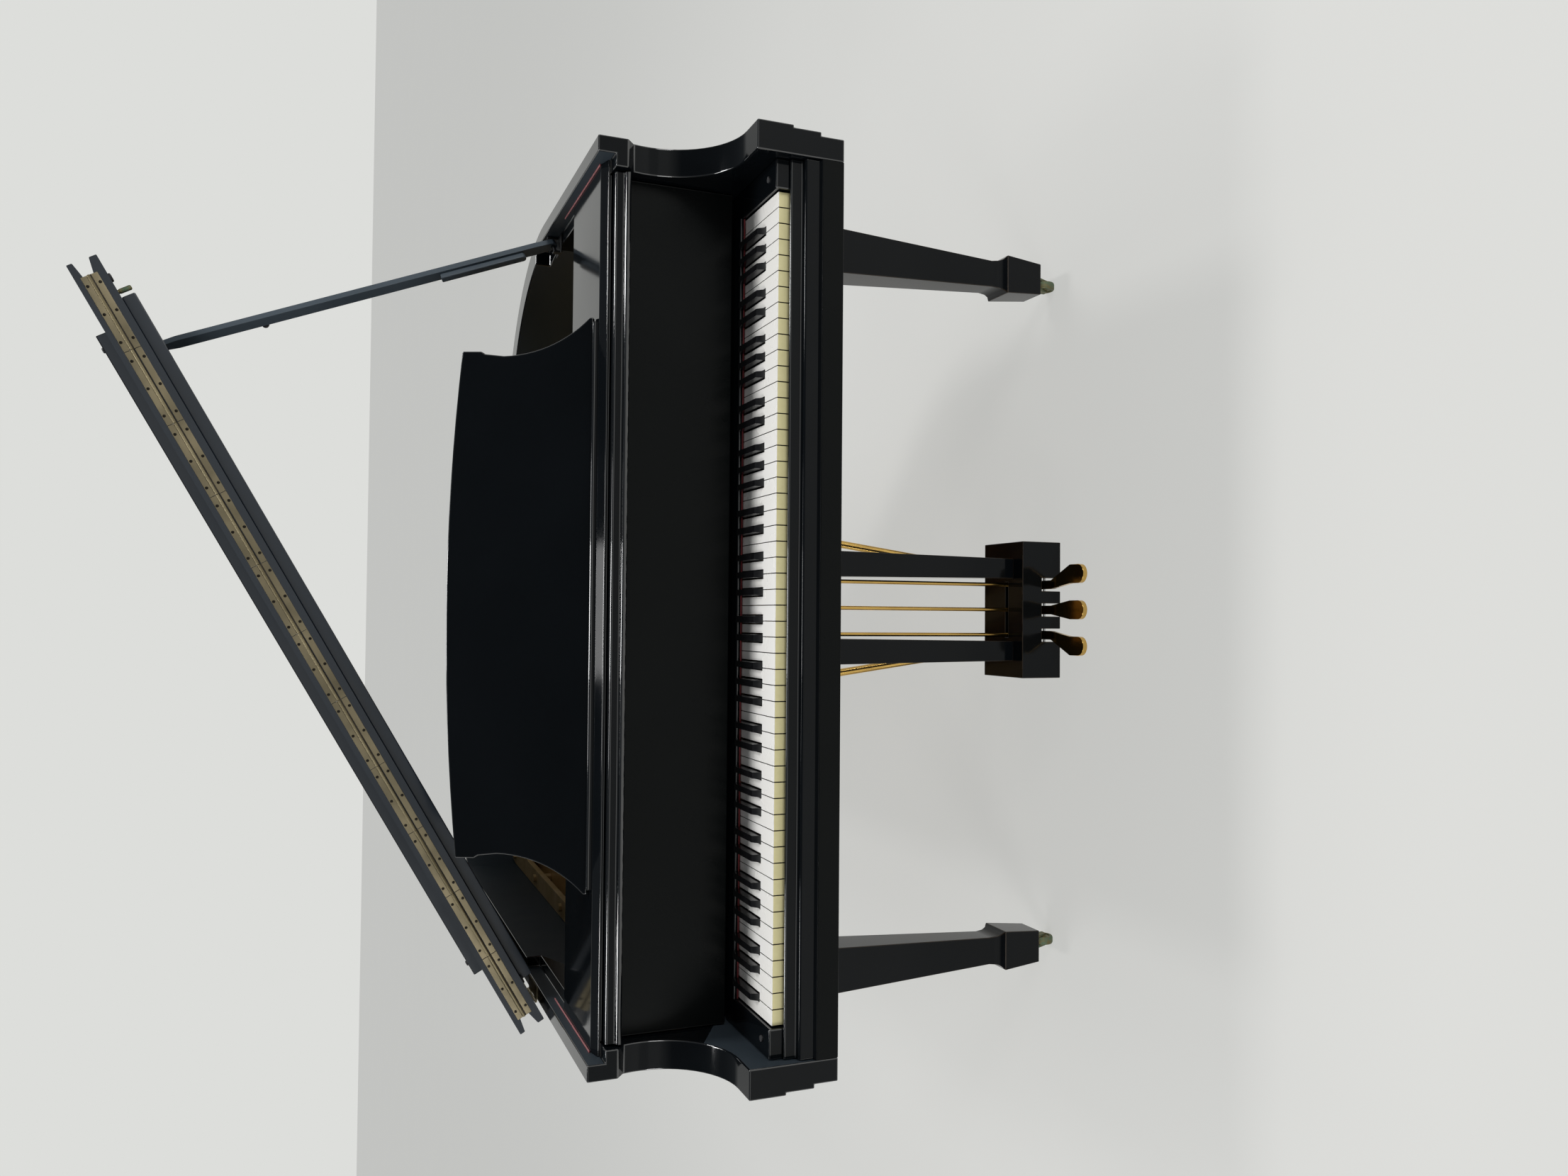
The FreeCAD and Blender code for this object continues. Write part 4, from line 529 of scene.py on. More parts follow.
@dataclass
class CasePlan:
    """Plan of the case seen from above, in millimetres.

    Attributes:
        half_width: Half the width over the rim.
        tail: Place of the tail behind the front of the keys.
        straight_end: Where the treble side starts to bend.
        bend_radius: Radius of the treble shoulder.
        bend_angle: Turn of the shoulder in degrees.
        waist_radius: Radius of the hollow side.
        waist_angle: Turn of the hollow side in degrees.
        tail_radius: Radius of the treble corner of the tail.
        spine_radius: Radius of the bass corner of the tail.
        steps: Chords in each arc.
    """

    half_width: float = 704.0
    tail: float = 1670.0
    straight_end: float = 560.0
    bend_radius: float = 430.0
    bend_angle: float = 52.0
    waist_radius: float = 800.0
    waist_angle: float = 30.0
    tail_radius: float = 330.0
    spine_radius: float = 180.0
    steps: int = 20

    def outline(self, inset: float, front: float) -> list[Pair]:
        """Closed plan moved in by an inset behind a straight front line.

        Args:
            inset: Distance inwards from the rim's outer face.
            front: Y of the front line.

        Returns:
            Points from the bass end of the front line round by the treble.
        """
        rest = self.bend_angle - self.waist_angle
        bend = (self.half_width - self.bend_radius, self.straight_end)
        reach = self.bend_radius + self.waist_radius
        turn = math.radians(self.bend_angle)
        waist = (bend[0] + reach * math.cos(turn), bend[1] + reach * math.sin(turn))
        lean = math.radians(rest)
        end = (waist[0] - self.waist_radius * math.cos(lean), waist[1] - self.waist_radius * math.sin(lean))
        tail_y = self.tail - self.tail_radius
        run = (tail_y + self.tail_radius * math.sin(lean) - end[1]) / math.cos(lean)
        tail = (end[0] - run * math.sin(lean) - self.tail_radius * math.cos(lean), tail_y)
        spine = (self.spine_radius - self.half_width, self.tail - self.spine_radius)
        return ([(inset - self.half_width, front), (self.half_width - inset, front)]
                + arc(bend, self.bend_radius - inset, 0, self.bend_angle, self.steps)
                + arc(waist, self.waist_radius + inset, 180 + self.bend_angle, 180 + rest, self.steps)
                + arc(tail, self.tail_radius - inset, rest, 90, self.steps)
                + arc(spine, self.spine_radius - inset, 90, 180, self.steps))


def stack(bm: BMesh, rings: Sequence[Sequence[Vector]], finish: int = 0) -> None:
    """Close a solid through rings of equal count, capped at both ends.

    Args:
        bm: Mesh to add to.
        rings: Rings of points in metres, each anticlockwise seen from the last ring's side.
        finish: Number of the material.
    """
    rows = [[bm.verts.new(p) for p in ring] for ring in rings]
    faces = [bm.faces.new(rows[0][::-1]), bm.faces.new(rows[-1])]
    for low, high in zip(rows, rows[1:]):
        for k in range(len(low)):
            faces.append(bm.faces.new((low[k - 1], low[k], high[k], high[k - 1])))
    for face in faces:
        face.material_index = finish


def block(bm: BMesh, low: Sequence[float], high: Sequence[float], ease: float, finish: int = 0) -> None:
    """Add a block with eased edges.

    Args:
        bm: Mesh to add to.
        low: Lowest corner in millimetres.
        high: Highest corner in millimetres.
        ease: Width of the eased edges in millimetres.
        finish: Number of the material.
    """
    made = bmesh.ops.create_cube(bm, size=1.0)["verts"]
    for vert in made:
        vert.co = Vector([(low[k] if vert.co[k] < 0 else high[k]) * MM for k in range(3)])
    edges = list({edge for vert in made for edge in vert.link_edges})
    for face in {face for vert in made for face in vert.link_faces}:
        face.material_index = finish
    bmesh.ops.bevel(bm, geom=edges, offset=ease * MM, segments=2, profile=0.5, affect="EDGES")


def run_across(bm: BMesh, profile: Sequence[Pair], half: float, ease: float, arcs: int = 0) -> set:
    """Add a straight moulding across the keyboard, with its ends drawn in a little.

    Args:
        bm: Mesh to add to.
        profile: Y and Z of its section in millimetres, anticlockwise seen from the treble.
        half: Half its length in millimetres.
        ease: How far the ends are eased in millimetres.
        arcs: Number of the material on its rounded stretches.

    Returns:
        The faces that were made.
    """
    before = set(bm.faces)
    middle = [sum(axis) / len(profile) for axis in zip(*profile)]
    rings = []
    for x, pull in ((-half, ease), (ease - half, 0.0), (half - ease, 0.0), (half, ease)):
        ring = []
        for y, z in profile:
            away = Vector((y - middle[0], z - middle[1]))
            away -= Vector([math.copysign(min(abs(a), pull), a) for a in away])
            ring.append(Vector((x, middle[0] + away.x, middle[1] + away.y)) * MM)
        rings.append(ring)
    stack(bm, rings)
    made = set(bm.faces) - before
    for face in made:
        if max((a.co.yz - b.co.yz).length for a in face.verts for b in face.verts) < CHORD * MM:
            face.material_index = arcs
    return made


def turned(bm: BMesh, profile: Sequence[Pair], place: Matrix, sides: int, finish: int = 0) -> None:
    """Add a piece turned on a lathe.

    Args:
        bm: Mesh to add to.
        profile: Radius and height of each step in millimetres, from one end to the other.
        place: Where the lathe's axis, local Z, stands in metres.
        sides: Steps round the axis.
        finish: Number of the material.
    """
    rings = []
    for radius, height in profile:
        ring = []
        for k in range(sides):
            turn = math.tau * k / sides
            point = Vector((radius * math.cos(turn), radius * math.sin(turn), height)) * MM
            ring.append(place @ point)
        rings.append(ring)
    stack(bm, rings, finish)


def towards(point: Sequence[float], aim: Sequence[float]) -> Matrix:
    """A place at a point in millimetres with local Z along a direction.

    Args:
        point: Place in millimetres.
        aim: Direction of local Z.

    Returns:
        The matrix in metres.
    """
    turn = Vector(UP).rotation_difference(Vector(aim)).to_matrix().to_4x4()
    return Matrix.Translation(Vector(point) * MM) @ turn


def screw_head(bm: BMesh, point: Sequence[float], aim: Sequence[float], radius: float, finish: int) -> None:
    """Add a low domed screw head.

    Args:
        bm: Mesh to add to.
        point: Middle of its seat in millimetres.
        aim: Direction it faces.
        radius: Its radius in millimetres.
        finish: Number of the material.
    """
    turned(bm, [(radius, -0.2), (radius, 0.15), (radius * 0.8, 0.45), (radius * 0.3, 0.55)],
           towards(point, aim), 12, finish)


@dataclass
class Assembly:
    """Part of the piano that finishes nodes of the frame and adds pieces to them.

    Attributes:
    """

    frame: dict

    def body_of(self, node: str) -> str:
        """Name of the body that a node rides on."""
        return self.frame["nodes"][node]["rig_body"]

    def put(self, name: str, bm: BMesh, finishes: Sequence[Finish], body: str, slot: str,
            replaced: Iterable[str] = (), smooth: float = 42.0) -> None:
        """Turn a mesh into a piece that rides on a body.

        Args:
            name: Name of the piece.
            bm: Its mesh in metres, freed here.
            finishes: Its materials in order.
            body: Body it rides on.
            slot: Slot of the record; not used.
            replaced: Nodes it stands for.
            smooth: Sharpest angle in degrees that is shaded smooth.
        """
        bmesh.ops.recalc_face_normals(bm, faces=bm.faces)
        mesh = bpy.data.meshes.new(name)
        bm.to_mesh(mesh)
        bm.free()
        mesh.shade_smooth()
        mesh.set_sharp_from_angle(angle=math.radians(smooth))
        for finish in finishes:
            mesh.materials.append(finish.material())
        piece = bpy.data.objects.new(name, mesh)
        bpy.context.scene.collection.objects.link(piece)
        piece.modifiers.new("even_normals", "WEIGHTED_NORMAL").keep_sharp = True
        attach(piece, body)
        if replaced:
            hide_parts(*replaced)
        log.info("%s rides on %s", name, body)

    def copy(self, node: str) -> BMesh:
        """Copy a node's mesh with its seams joined and its flat faces whole.

        Args:
            node: Name of the node.

        Returns:
            A mesh that may be changed.
        """
        bm = bmesh.new()
        bm.from_mesh(self.frame["nodes"][node].data)
        bmesh.ops.remove_doubles(bm, verts=bm.verts, dist=WELD)
        bmesh.ops.dissolve_limit(bm, angle_limit=math.radians(FLAT), verts=bm.verts, edges=bm.edges)
        for face in bm.faces:
            face.material_index = 0
        return bm

    def eased(self, node: str, finish: Finish, slot: str, ease: Ease, edge: Finish | None = None,
              paint: Callable[[Vector, Vector], int] | None = None, more: Sequence[Finish] = ()) -> None:
        """Replace a node by a copy with eased edges.

        Args:
            node: Name of the node.
            finish: Its finish.
            slot: Slot of the record.
            ease: How far its edges are eased.
            edge: Finish of the eased edges, where they wear.
            paint: Picks the number of the finish from a face's middle and normal.
            more: Further finishes that paint picks from, numbered after the edges' finish.
        """
        bm = self.copy(node)
        if paint:
            for face in bm.faces:
                face.material_index = paint(face.calc_center_median() / MM, face.normal)
        least = math.radians(SHARP)
        sharp = [e for e in bm.edges if len(e.link_faces) == 2 and e.calc_face_angle(0.0) > least]
        bmesh.ops.bevel(bm, geom=sharp, offset=ease.value * MM, segments=3, profile=0.5, affect="EDGES",
                        clamp_overlap=True, material=Coat.EDGE if edge else -1)
        finishes = [finish, *([edge] if edge else []), *more]
        self.put(f"{node}_finished", bm, finishes, self.body_of(node), slot, [node])

    def keep(self, node: str, finish: Finish) -> None:
        """Leave a node's own solid showing, with a finish."""
        mesh = self.frame["nodes"][node].data
        mesh.materials.clear()
        mesh.materials.append(finish.material())
        log.info("%s keeps its solid", node)


@dataclass
class Case(Assembly):
    """Rim with its arms, keybed, slip, key blocks and the rails round the keyboard.

    Attributes:
        block_top: Height of the key blocks.
        button: X and Y of the treble rest button.
        strip_half: Half the length of the strip behind the keys.
        strip_y: Front and back of the strip.
        strip_z: Underside of the strip, where its felt starts, and its top.
        strip_round: Radius along its upper front edge.
        felt_back: Back of the felt.
        felt_low: Underside of the felt, just over the keys.
        felt_round: Radius along its lower front edge.
        shade_board_half: Half the length of the black board behind the fallboard, put there as painted shade.
        shade_board_y: Front and back of that board.
        shade_board_z: Its underside and top.
        foot_half: Half the length of the cove along the foot of the slip.
        foot_y: Front of that cove and the slip's face.
        foot_z: Underside and top of that cove.
        line_x: Inner and outer edge of the felt line on the rim beside the tray.
        line_y: Ends of the felt line.
        line_z: Its underside and top.
        heart: Middle of the case in plan.
        inwards: How far a face has to look to the middle to be an inner wall.
    """

    block_top: float = 738.0
    button: Pair = (637.0, 22.0)
    strip_half: float = 615.1
    strip_y: Pair = (139.5, 176.0)
    strip_z: Pair = (735.0, 740.5)
    strip_round: float = 2.5
    felt_back: float = 158.0
    felt_low: float = 732.0
    felt_round: float = 0.8
    shade_board_half: float = 655.0
    shade_board_y: Pair = (189.5, 193.0)
    shade_board_z: Pair = (734.0, 800.0)
    foot_half: float = 659.5
    foot_y: Pair = (-29.2, -24.5)
    foot_z: Pair = (671.5, 676.5)
    line_x: Pair = (676.4, 679.2)
    line_y: Pair = (168.0, 436.0)
    line_z: Pair = (960.4, 961.8)
    heart: Pair = (-150.0, 900.0)
    inwards: float = 100.0

    def build(self) -> None:
        """Finish the case."""
        # The rim's inner walls take the painted slate sheen.
        self.eased("outer_rim", LACQUER, "black_lacquer", Ease.SOFT, GLOSS, self.inside, (RUBBED_AND_PAINTED_SHEEN,))
        self.eased("inner_rim", MAPLE, "maple", Ease.CRISP)
        self.eased("bracing_beams", BEAM, "spruce", Ease.SANDED)
        self.eased("keybed", SATIN, "black_lacquer", Ease.SANDED)
        self.eased("key_slip", LACQUER, "black_lacquer", Ease.SOFT, edge=GLOSS)
        self.eased("key_blocks", LACQUER, "black_lacquer", Ease.SOFT, edge=GLOSS)
        self.name_strip()
        self.strips()
        self.eased("tray_felts", BLACK_FELT, "red_felt", Ease.HAIR)
        self.eased("stretcher", LACQUER, "black_lacquer", Ease.SANDED)
        self.eased("key_frame", MAPLE, "maple", Ease.CRISP)
        self.buttons()

    def inside(self, middle: Vector, normal: Vector) -> int:
        """Number of the finish of a rim face, with a painted slate sheen on the walls round the strings.

        Args:
            middle: Middle of the face in millimetres.
            normal: Its normal.

        Returns:
            The coat with the painted sheen on an inner wall, else that of the other faces.
        """
        look = normal.x * (self.heart[0] - middle.x) + normal.y * (self.heart[1] - middle.y)
        return Coat.WALL if look > self.inwards and middle.y > self.strip_y[1] else Coat.FACE

    def name_strip(self) -> None:
        """Black strip behind the keys and the red felt under it."""
        (front, back), (low, high) = self.strip_y, self.strip_z
        bend = self.strip_round
        bm = bmesh.new()
        run_across(bm, [(front, low), (back, low), (back, high),
                        *arc((front + bend, high - bend), bend, 90, 180)],
                   self.strip_half, ease=0.4, arcs=Coat.EDGE)
        self.put("name_rail_moulded", bm, [LACQUER, GLOSS], "case", "black_lacquer", ["name_rail"])
        bend = self.felt_round
        bm = bmesh.new()
        run_across(bm, [*arc((front + bend, self.felt_low + bend), bend, 180, 270, 4),
                        (self.felt_back, self.felt_low), (self.felt_back, low), (front, low)],
                   self.strip_half - 0.3, ease=0.3)
        self.put("name_felt_pressed", bm, [RED_FELT], "case", "red_felt", ["name_felt"])

    def strips(self) -> None:
        """Black board behind the fallboard as painted shade, cove along the foot of the slip and felt lines
        beside the tray.
        """
        bm = bmesh.new()
        # A black board darkens the gap behind the fallboard as painted shade.
        block(bm, *zip((-self.shade_board_half, self.shade_board_half), self.shade_board_y, self.shade_board_z), ease=0.8)
        self.put("shade_board_behind_fallboard", bm, [SATIN], "case", "black_lacquer")
        bm = bmesh.new()
        (front, face), (low, high) = self.foot_y, self.foot_z
        run_across(bm, [(front, low), (face, low), (face, high), (front, low + 1.0)], self.foot_half, 0.2)
        self.put("key_slip_cove", bm, [LACQUER], "case", "black_lacquer")
        bm = bmesh.new()
        for side in Side:
            across = sorted(x * side.value for x in self.line_x)
            block(bm, *zip(across, self.line_y, self.line_z), ease=0.3)
        self.put("tray_edge_felts", bm, [RED_FELT], "case", "red_felt")

    def buttons(self) -> None:
        """Rest buttons for the fallboard on both key blocks."""
        bm = bmesh.new()
        for side in Side:
            turned(bm, [(5.0, -0.4), (5.2, 0.8), (4.6, 1.9), (2.4, 2.4)],
                   towards((self.button[0] * side.value, self.button[1], self.block_top), UP), 20)
        self.put("fallboard_rest_buttons", bm, [RUBBER], "case", "damper_black")


@dataclass
class Keyboard(Assembly):
    """Fifty-two naturals with white tops and cream fronts, and thirty-six black sharps.

    Attributes:
        pitch: Width of a natural with its gap.
        gap: Gap between keys.
        top: Height of the naturals.
        thickness: Depth of a key from top to bottom.
        cover: Thickness of the white covering.
        overhang: How far the covering stands over the front.
        head: Length of the wide part of a natural.
        length: Length of a key.
        sharp_rise: Height of a sharp above the naturals.
        sharp_end: Back end of a sharp's cap.
        sharp_side: Gap beside a sharp.
        sharp_slope: How far the nose leans back.
        sharp_taper: How much each side leans in.
        sharp_foot: How far a sharp's cap reaches below the naturals.
        sharp_round: Radius of a sharp's upper edges.
        cover_round: Radius of the covering's upper edges.
        notes: Number of keys.
        steps: Steps of the sharps in an octave counted from the lowest note.
    """

    pitch: float = 23.6
    gap: float = 1.2
    top: float = 731.0
    thickness: float = 28.0
    cover: float = 1.0
    overhang: float = 0.1
    head: float = 50.0
    length: float = 430.0
    sharp_rise: float = 12.0
    sharp_end: float = 138.0
    sharp_side: float = 1.2
    sharp_slope: float = 7.2
    sharp_taper: float = 1.0
    sharp_foot: float = 6.0
    sharp_round: float = 0.9
    cover_round: float = 0.3
    notes: int = 88
    steps: tuple[int, ...] = (1, 4, 6, 9, 11)

    def build(self) -> None:
        """Make both rows of keys."""
        white, black = bmesh.new(), bmesh.new()
        index = 0
        for note in range(self.notes):
            if note % 12 in self.steps:
                self.sharp(black, note)
            else:
                self.natural(white, note, index)
                index += 1
        self.put("natural_keys_covered", white, [KEY_TOP, KEY_FRONT, MAPLE, KEY_GAP_PAINTED_SHADE],
                 "natural_keys", "ivory", ["natural_keys"])
        self.put("sharp_keys_capped", black, [KEY_SHARP, MAPLE], "sharp_keys", "ebony", ["sharp_keys"])

    def span(self, note: int) -> Pair:
        """Left and right limits of a key's tail.

        Args:
            note: Number of the key from the lowest.

        Returns:
            Both limits in millimetres.
        """
        step, octave = (note - 3) % 12, (note - 3) // 12
        left = (7 * octave - 24) * self.pitch
        if step < 5:
            width = 3 * self.pitch / 5
            start = left + step * width
        else:
            width = 4 * self.pitch / 7
            start = left + 3 * self.pitch + (step - 5) * width
        return start, start + width

    def natural(self, bm: BMesh, note: int, index: int) -> None:
        """Add a natural: wooden stick, cream front and white covering.

        Args:
            bm: Mesh to add to.
            note: Number of the key from the lowest.
            index: Its number among the naturals.
        """
        low, high = self.span(note)
        left = (index - 26) * self.pitch + self.gap / 2
        right = left + self.pitch - self.gap
        low = left if note == 0 else max(low + self.gap / 2, left)
        high = right if note == self.notes - 1 else min(high - self.gap / 2, right)
        seat = self.top - self.cover
        for shrink, front, base, crown, finish in (
                (0.25, 0.4, self.top - self.thickness, seat, KeyFace.STICK),
                (0.0, -self.overhang, seat, self.top, KeyFace.COVER)):
            ring = [(left + shrink, front), (right - shrink, front), (right - shrink, self.head),
                    (high - shrink, self.head), (high - shrink, self.length), (low + shrink, self.length),
                    (low + shrink, self.head), (left + shrink, self.head)]
            ring = [p for k, p in enumerate(ring) if math.dist(p, ring[k - 1]) > 0.01]
            before = set(bm.faces)
            stack(bm, [[Vector((x, y, z)) * MM for x, y in ring] for z in (base, crown)], finish)
            made = set(bm.faces) - before
            for face in made:
                face.normal_update()
                # Side faces are painted dark as the shade in the gaps between keys.
                if abs(face.normal.x) > 0.9:
                    face.material_index = KeyFace.FLANK
            if finish == KeyFace.STICK:
                for face in made:
                    if face.calc_center_median().y < (front + 0.1) * MM:
                        face.material_index = KeyFace.FRONT
                continue
            rim = [e for e in {e for f in made for e in f.edges}
                   if any(v.co.z > (crown - 0.01) * MM for v in e.verts) and e.calc_face_angle(0.0) > 0.5]
            bmesh.ops.bevel(bm, geom=rim, offset=self.cover_round * MM, segments=2, profile=0.5,
                            affect="EDGES")

    def sharp(self, bm: BMesh, note: int) -> None:
        """Add a sharp: tapered cap with a sloped nose on a wooden stick.

        Args:
            bm: Mesh to add to.
            note: Number of the key from the lowest.
        """
        low, high = self.span(note)
        low, high = low + self.sharp_side, high - self.sharp_side
        front, foot = self.head + self.gap, self.top - self.sharp_foot
        crown = self.top + self.sharp_rise
        rings = []
        for z, lean in ((foot, 0.0), (self.top + 2.0, 0.12), (crown, 1.0)):
            side, nose = self.sharp_taper * lean, self.sharp_slope * lean
            rings.append([Vector((x, y, z)) * MM for x, y in (
                (low + side, front + nose), (high - side, front + nose), (high - side, self.sharp_end),
                (low + side, self.sharp_end))])
        before = set(bm.faces)
        stack(bm, rings)
        edges = {e for f in set(bm.faces) - before for e in f.edges}
        rim = [e for e in edges
               if e.calc_face_angle(0.0) > 0.6 and max(v.co.z for v in e.verts) > self.top * MM]
        bmesh.ops.bevel(bm, geom=rim, offset=self.sharp_round * MM, segments=3, profile=0.5, affect="EDGES")
        block(bm, (low, front + 0.5, self.top - self.thickness), (high, self.length, foot - 0.05), 0.4, 1)


@dataclass
class StrungPlate(Assembly):
    """Iron plate with its bolts, pins, strings, bridges and the soundboard under them.

    Attributes:
        pin_radius: Radius of a tuning pin.
        pin_head: Height of a pin's squared head.
        pin_neck: Share of the pin's radius that its neck has.
        coil_drop: How far the coil's foot lies below the top of a pin.
        coil_pitch: Rise of the coil in a turn.
        coil_turns: Turns of wire on a pin.
        coil_out: How far the coil stands out from its pin.
        plain_radius: Radius of a plain string.
        wound_radius: Radius of a wound string.
        wire_sides: Sides of a drawn wire.
    """

    pin_radius: float = 3.4
    pin_head: float = 10.0
    pin_neck: float = 0.92
    coil_drop: float = 17.0
    coil_pitch: float = 1.3
    coil_turns: int = 3
    coil_out: float = 1.0
    plain_radius: float = 0.55
    wound_radius: float = 1.5
    wire_sides: int = 8

    def build(self) -> None:
        """Finish the sounding parts."""
        self.keep("soundboard", SPRUCE)
        self.eased("soundboard_ribs", BEAM, "spruce", Ease.SANDED)
        self.eased("string_bridges", MAPLE, "maple", Ease.CRISP)
        self.eased("pin_block", MAPLE, "maple", Ease.CRISP)
        self.eased("iron_plate", GOLD_IRON, "gold_iron", Ease.SOFT)
        self.eased("plate_bolts", GOLD_IRON, "gold_iron", Ease.SANDED)
        self.wires("plain_strings", STEEL, "string_steel", self.plain_radius)
        self.wires("bass_strings", COPPER, "copper_winding", self.wound_radius)
        self.pins()

    def islands(self, node: str) -> list[list[Vector]]:
        """Split a node's mesh into the corners of its separate solids.

        Args:
            node: Name of the node.

        Returns:
            Corners of each solid in metres.
        """
        bm = self.copy(node)
        seen: set[int] = set()
        groups = []
        for vert in bm.verts:
            if vert.index in seen:
                continue
            waiting, group = [vert], []
            seen.add(vert.index)
            while waiting:
                here = waiting.pop()
                group.append(here.co.copy())
                for edge in here.link_edges:
                    other = edge.other_vert(here)
                    if other.index not in seen:
                        seen.add(other.index)
                        waiting.append(other)
            groups.append(group)
        bm.free()
        return groups

    def wires(self, node: str, finish: Finish, slot: str, radius: float) -> None:
        """Replace many-sided strings by round wires along the same lines.

        Args:
            node: Name of the node.
            finish: Finish of the wires.
            slot: Slot of the record.
            radius: Radius of a wire in millimetres.
        """
        bm = bmesh.new()
        for group in self.islands(node):
            middle = sum(group, Vector()) / len(group)
            far = max(group, key=lambda p: (p - middle).length)
            ends = ([p for p in group if (p - middle).dot(far - middle) > 0],
                    [p for p in group if (p - middle).dot(far - middle) <= 0])
            start, stop = (sum(end, Vector()) / len(end) for end in ends)
            run = stop - start
            turned(bm, [(radius, 0.0), (radius, run.length / MM)], towards(start / MM, run), self.wire_sides)
        self.put(f"{node}_drawn", bm, [finish], "case", slot, [node], smooth=60.0)

    def pins(self) -> None:
        """Replace each tuning pin by a round one with a squared head and a coil of wire."""
        bm = bmesh.new()
        for group in self.islands("tuning_pins"):
            low, high = min(p.z for p in group) / MM, max(p.z for p in group) / MM
            middle = sum(group, Vector()) / len(group) / MM
            place = towards((middle.x, middle.y, low), UP)
            height, radius = high - low, self.pin_radius
            shoulder, neck = height - self.pin_head, radius * self.pin_neck
            turned(bm, [(radius, 0.0), (radius, shoulder - 1.0), (neck, shoulder)], place, 14)
            turned(bm, [(neck, shoulder), (radius * 0.8, height - 0.8), (radius * 0.55, height)], place, 4)
            for turn in range(self.coil_turns):
                level = height - self.coil_drop + turn * self.coil_pitch
                out = radius + self.coil_out
                turned(bm, [(radius, level), (out, level + 0.2), (out, level + 1.0), (radius, level + 1.2)],
                       place, 14)
        self.put("tuning_pins_turned", bm, [STEEL], "case", "string_steel", ["tuning_pins"])


@dataclass
class Action(Assembly):
    """Hammers, dampers and the frame that carries them.

    Attributes:
        felt_from: Y behind which a hammer is felt.
    """

    felt_from: float = 471.0

    def build(self) -> None:
        """Finish the action."""
        self.eased("action_frame", MAPLE, "maple", Ease.CRISP)
        for row in ("natural", "sharp"):
            self.eased(f"{row}_hammers", MAPLE, "hammer_felt", Ease.CRISP, more=(WHITE_FELT,),
                       paint=lambda middle, _: int(middle.y > self.felt_from))
            self.eased(f"{row}_dampers", BLACK_WOOD, "damper_black", Ease.SANDED, more=(WHITE_FELT,),
                       paint=lambda _, normal: int(normal.z < -0.5))


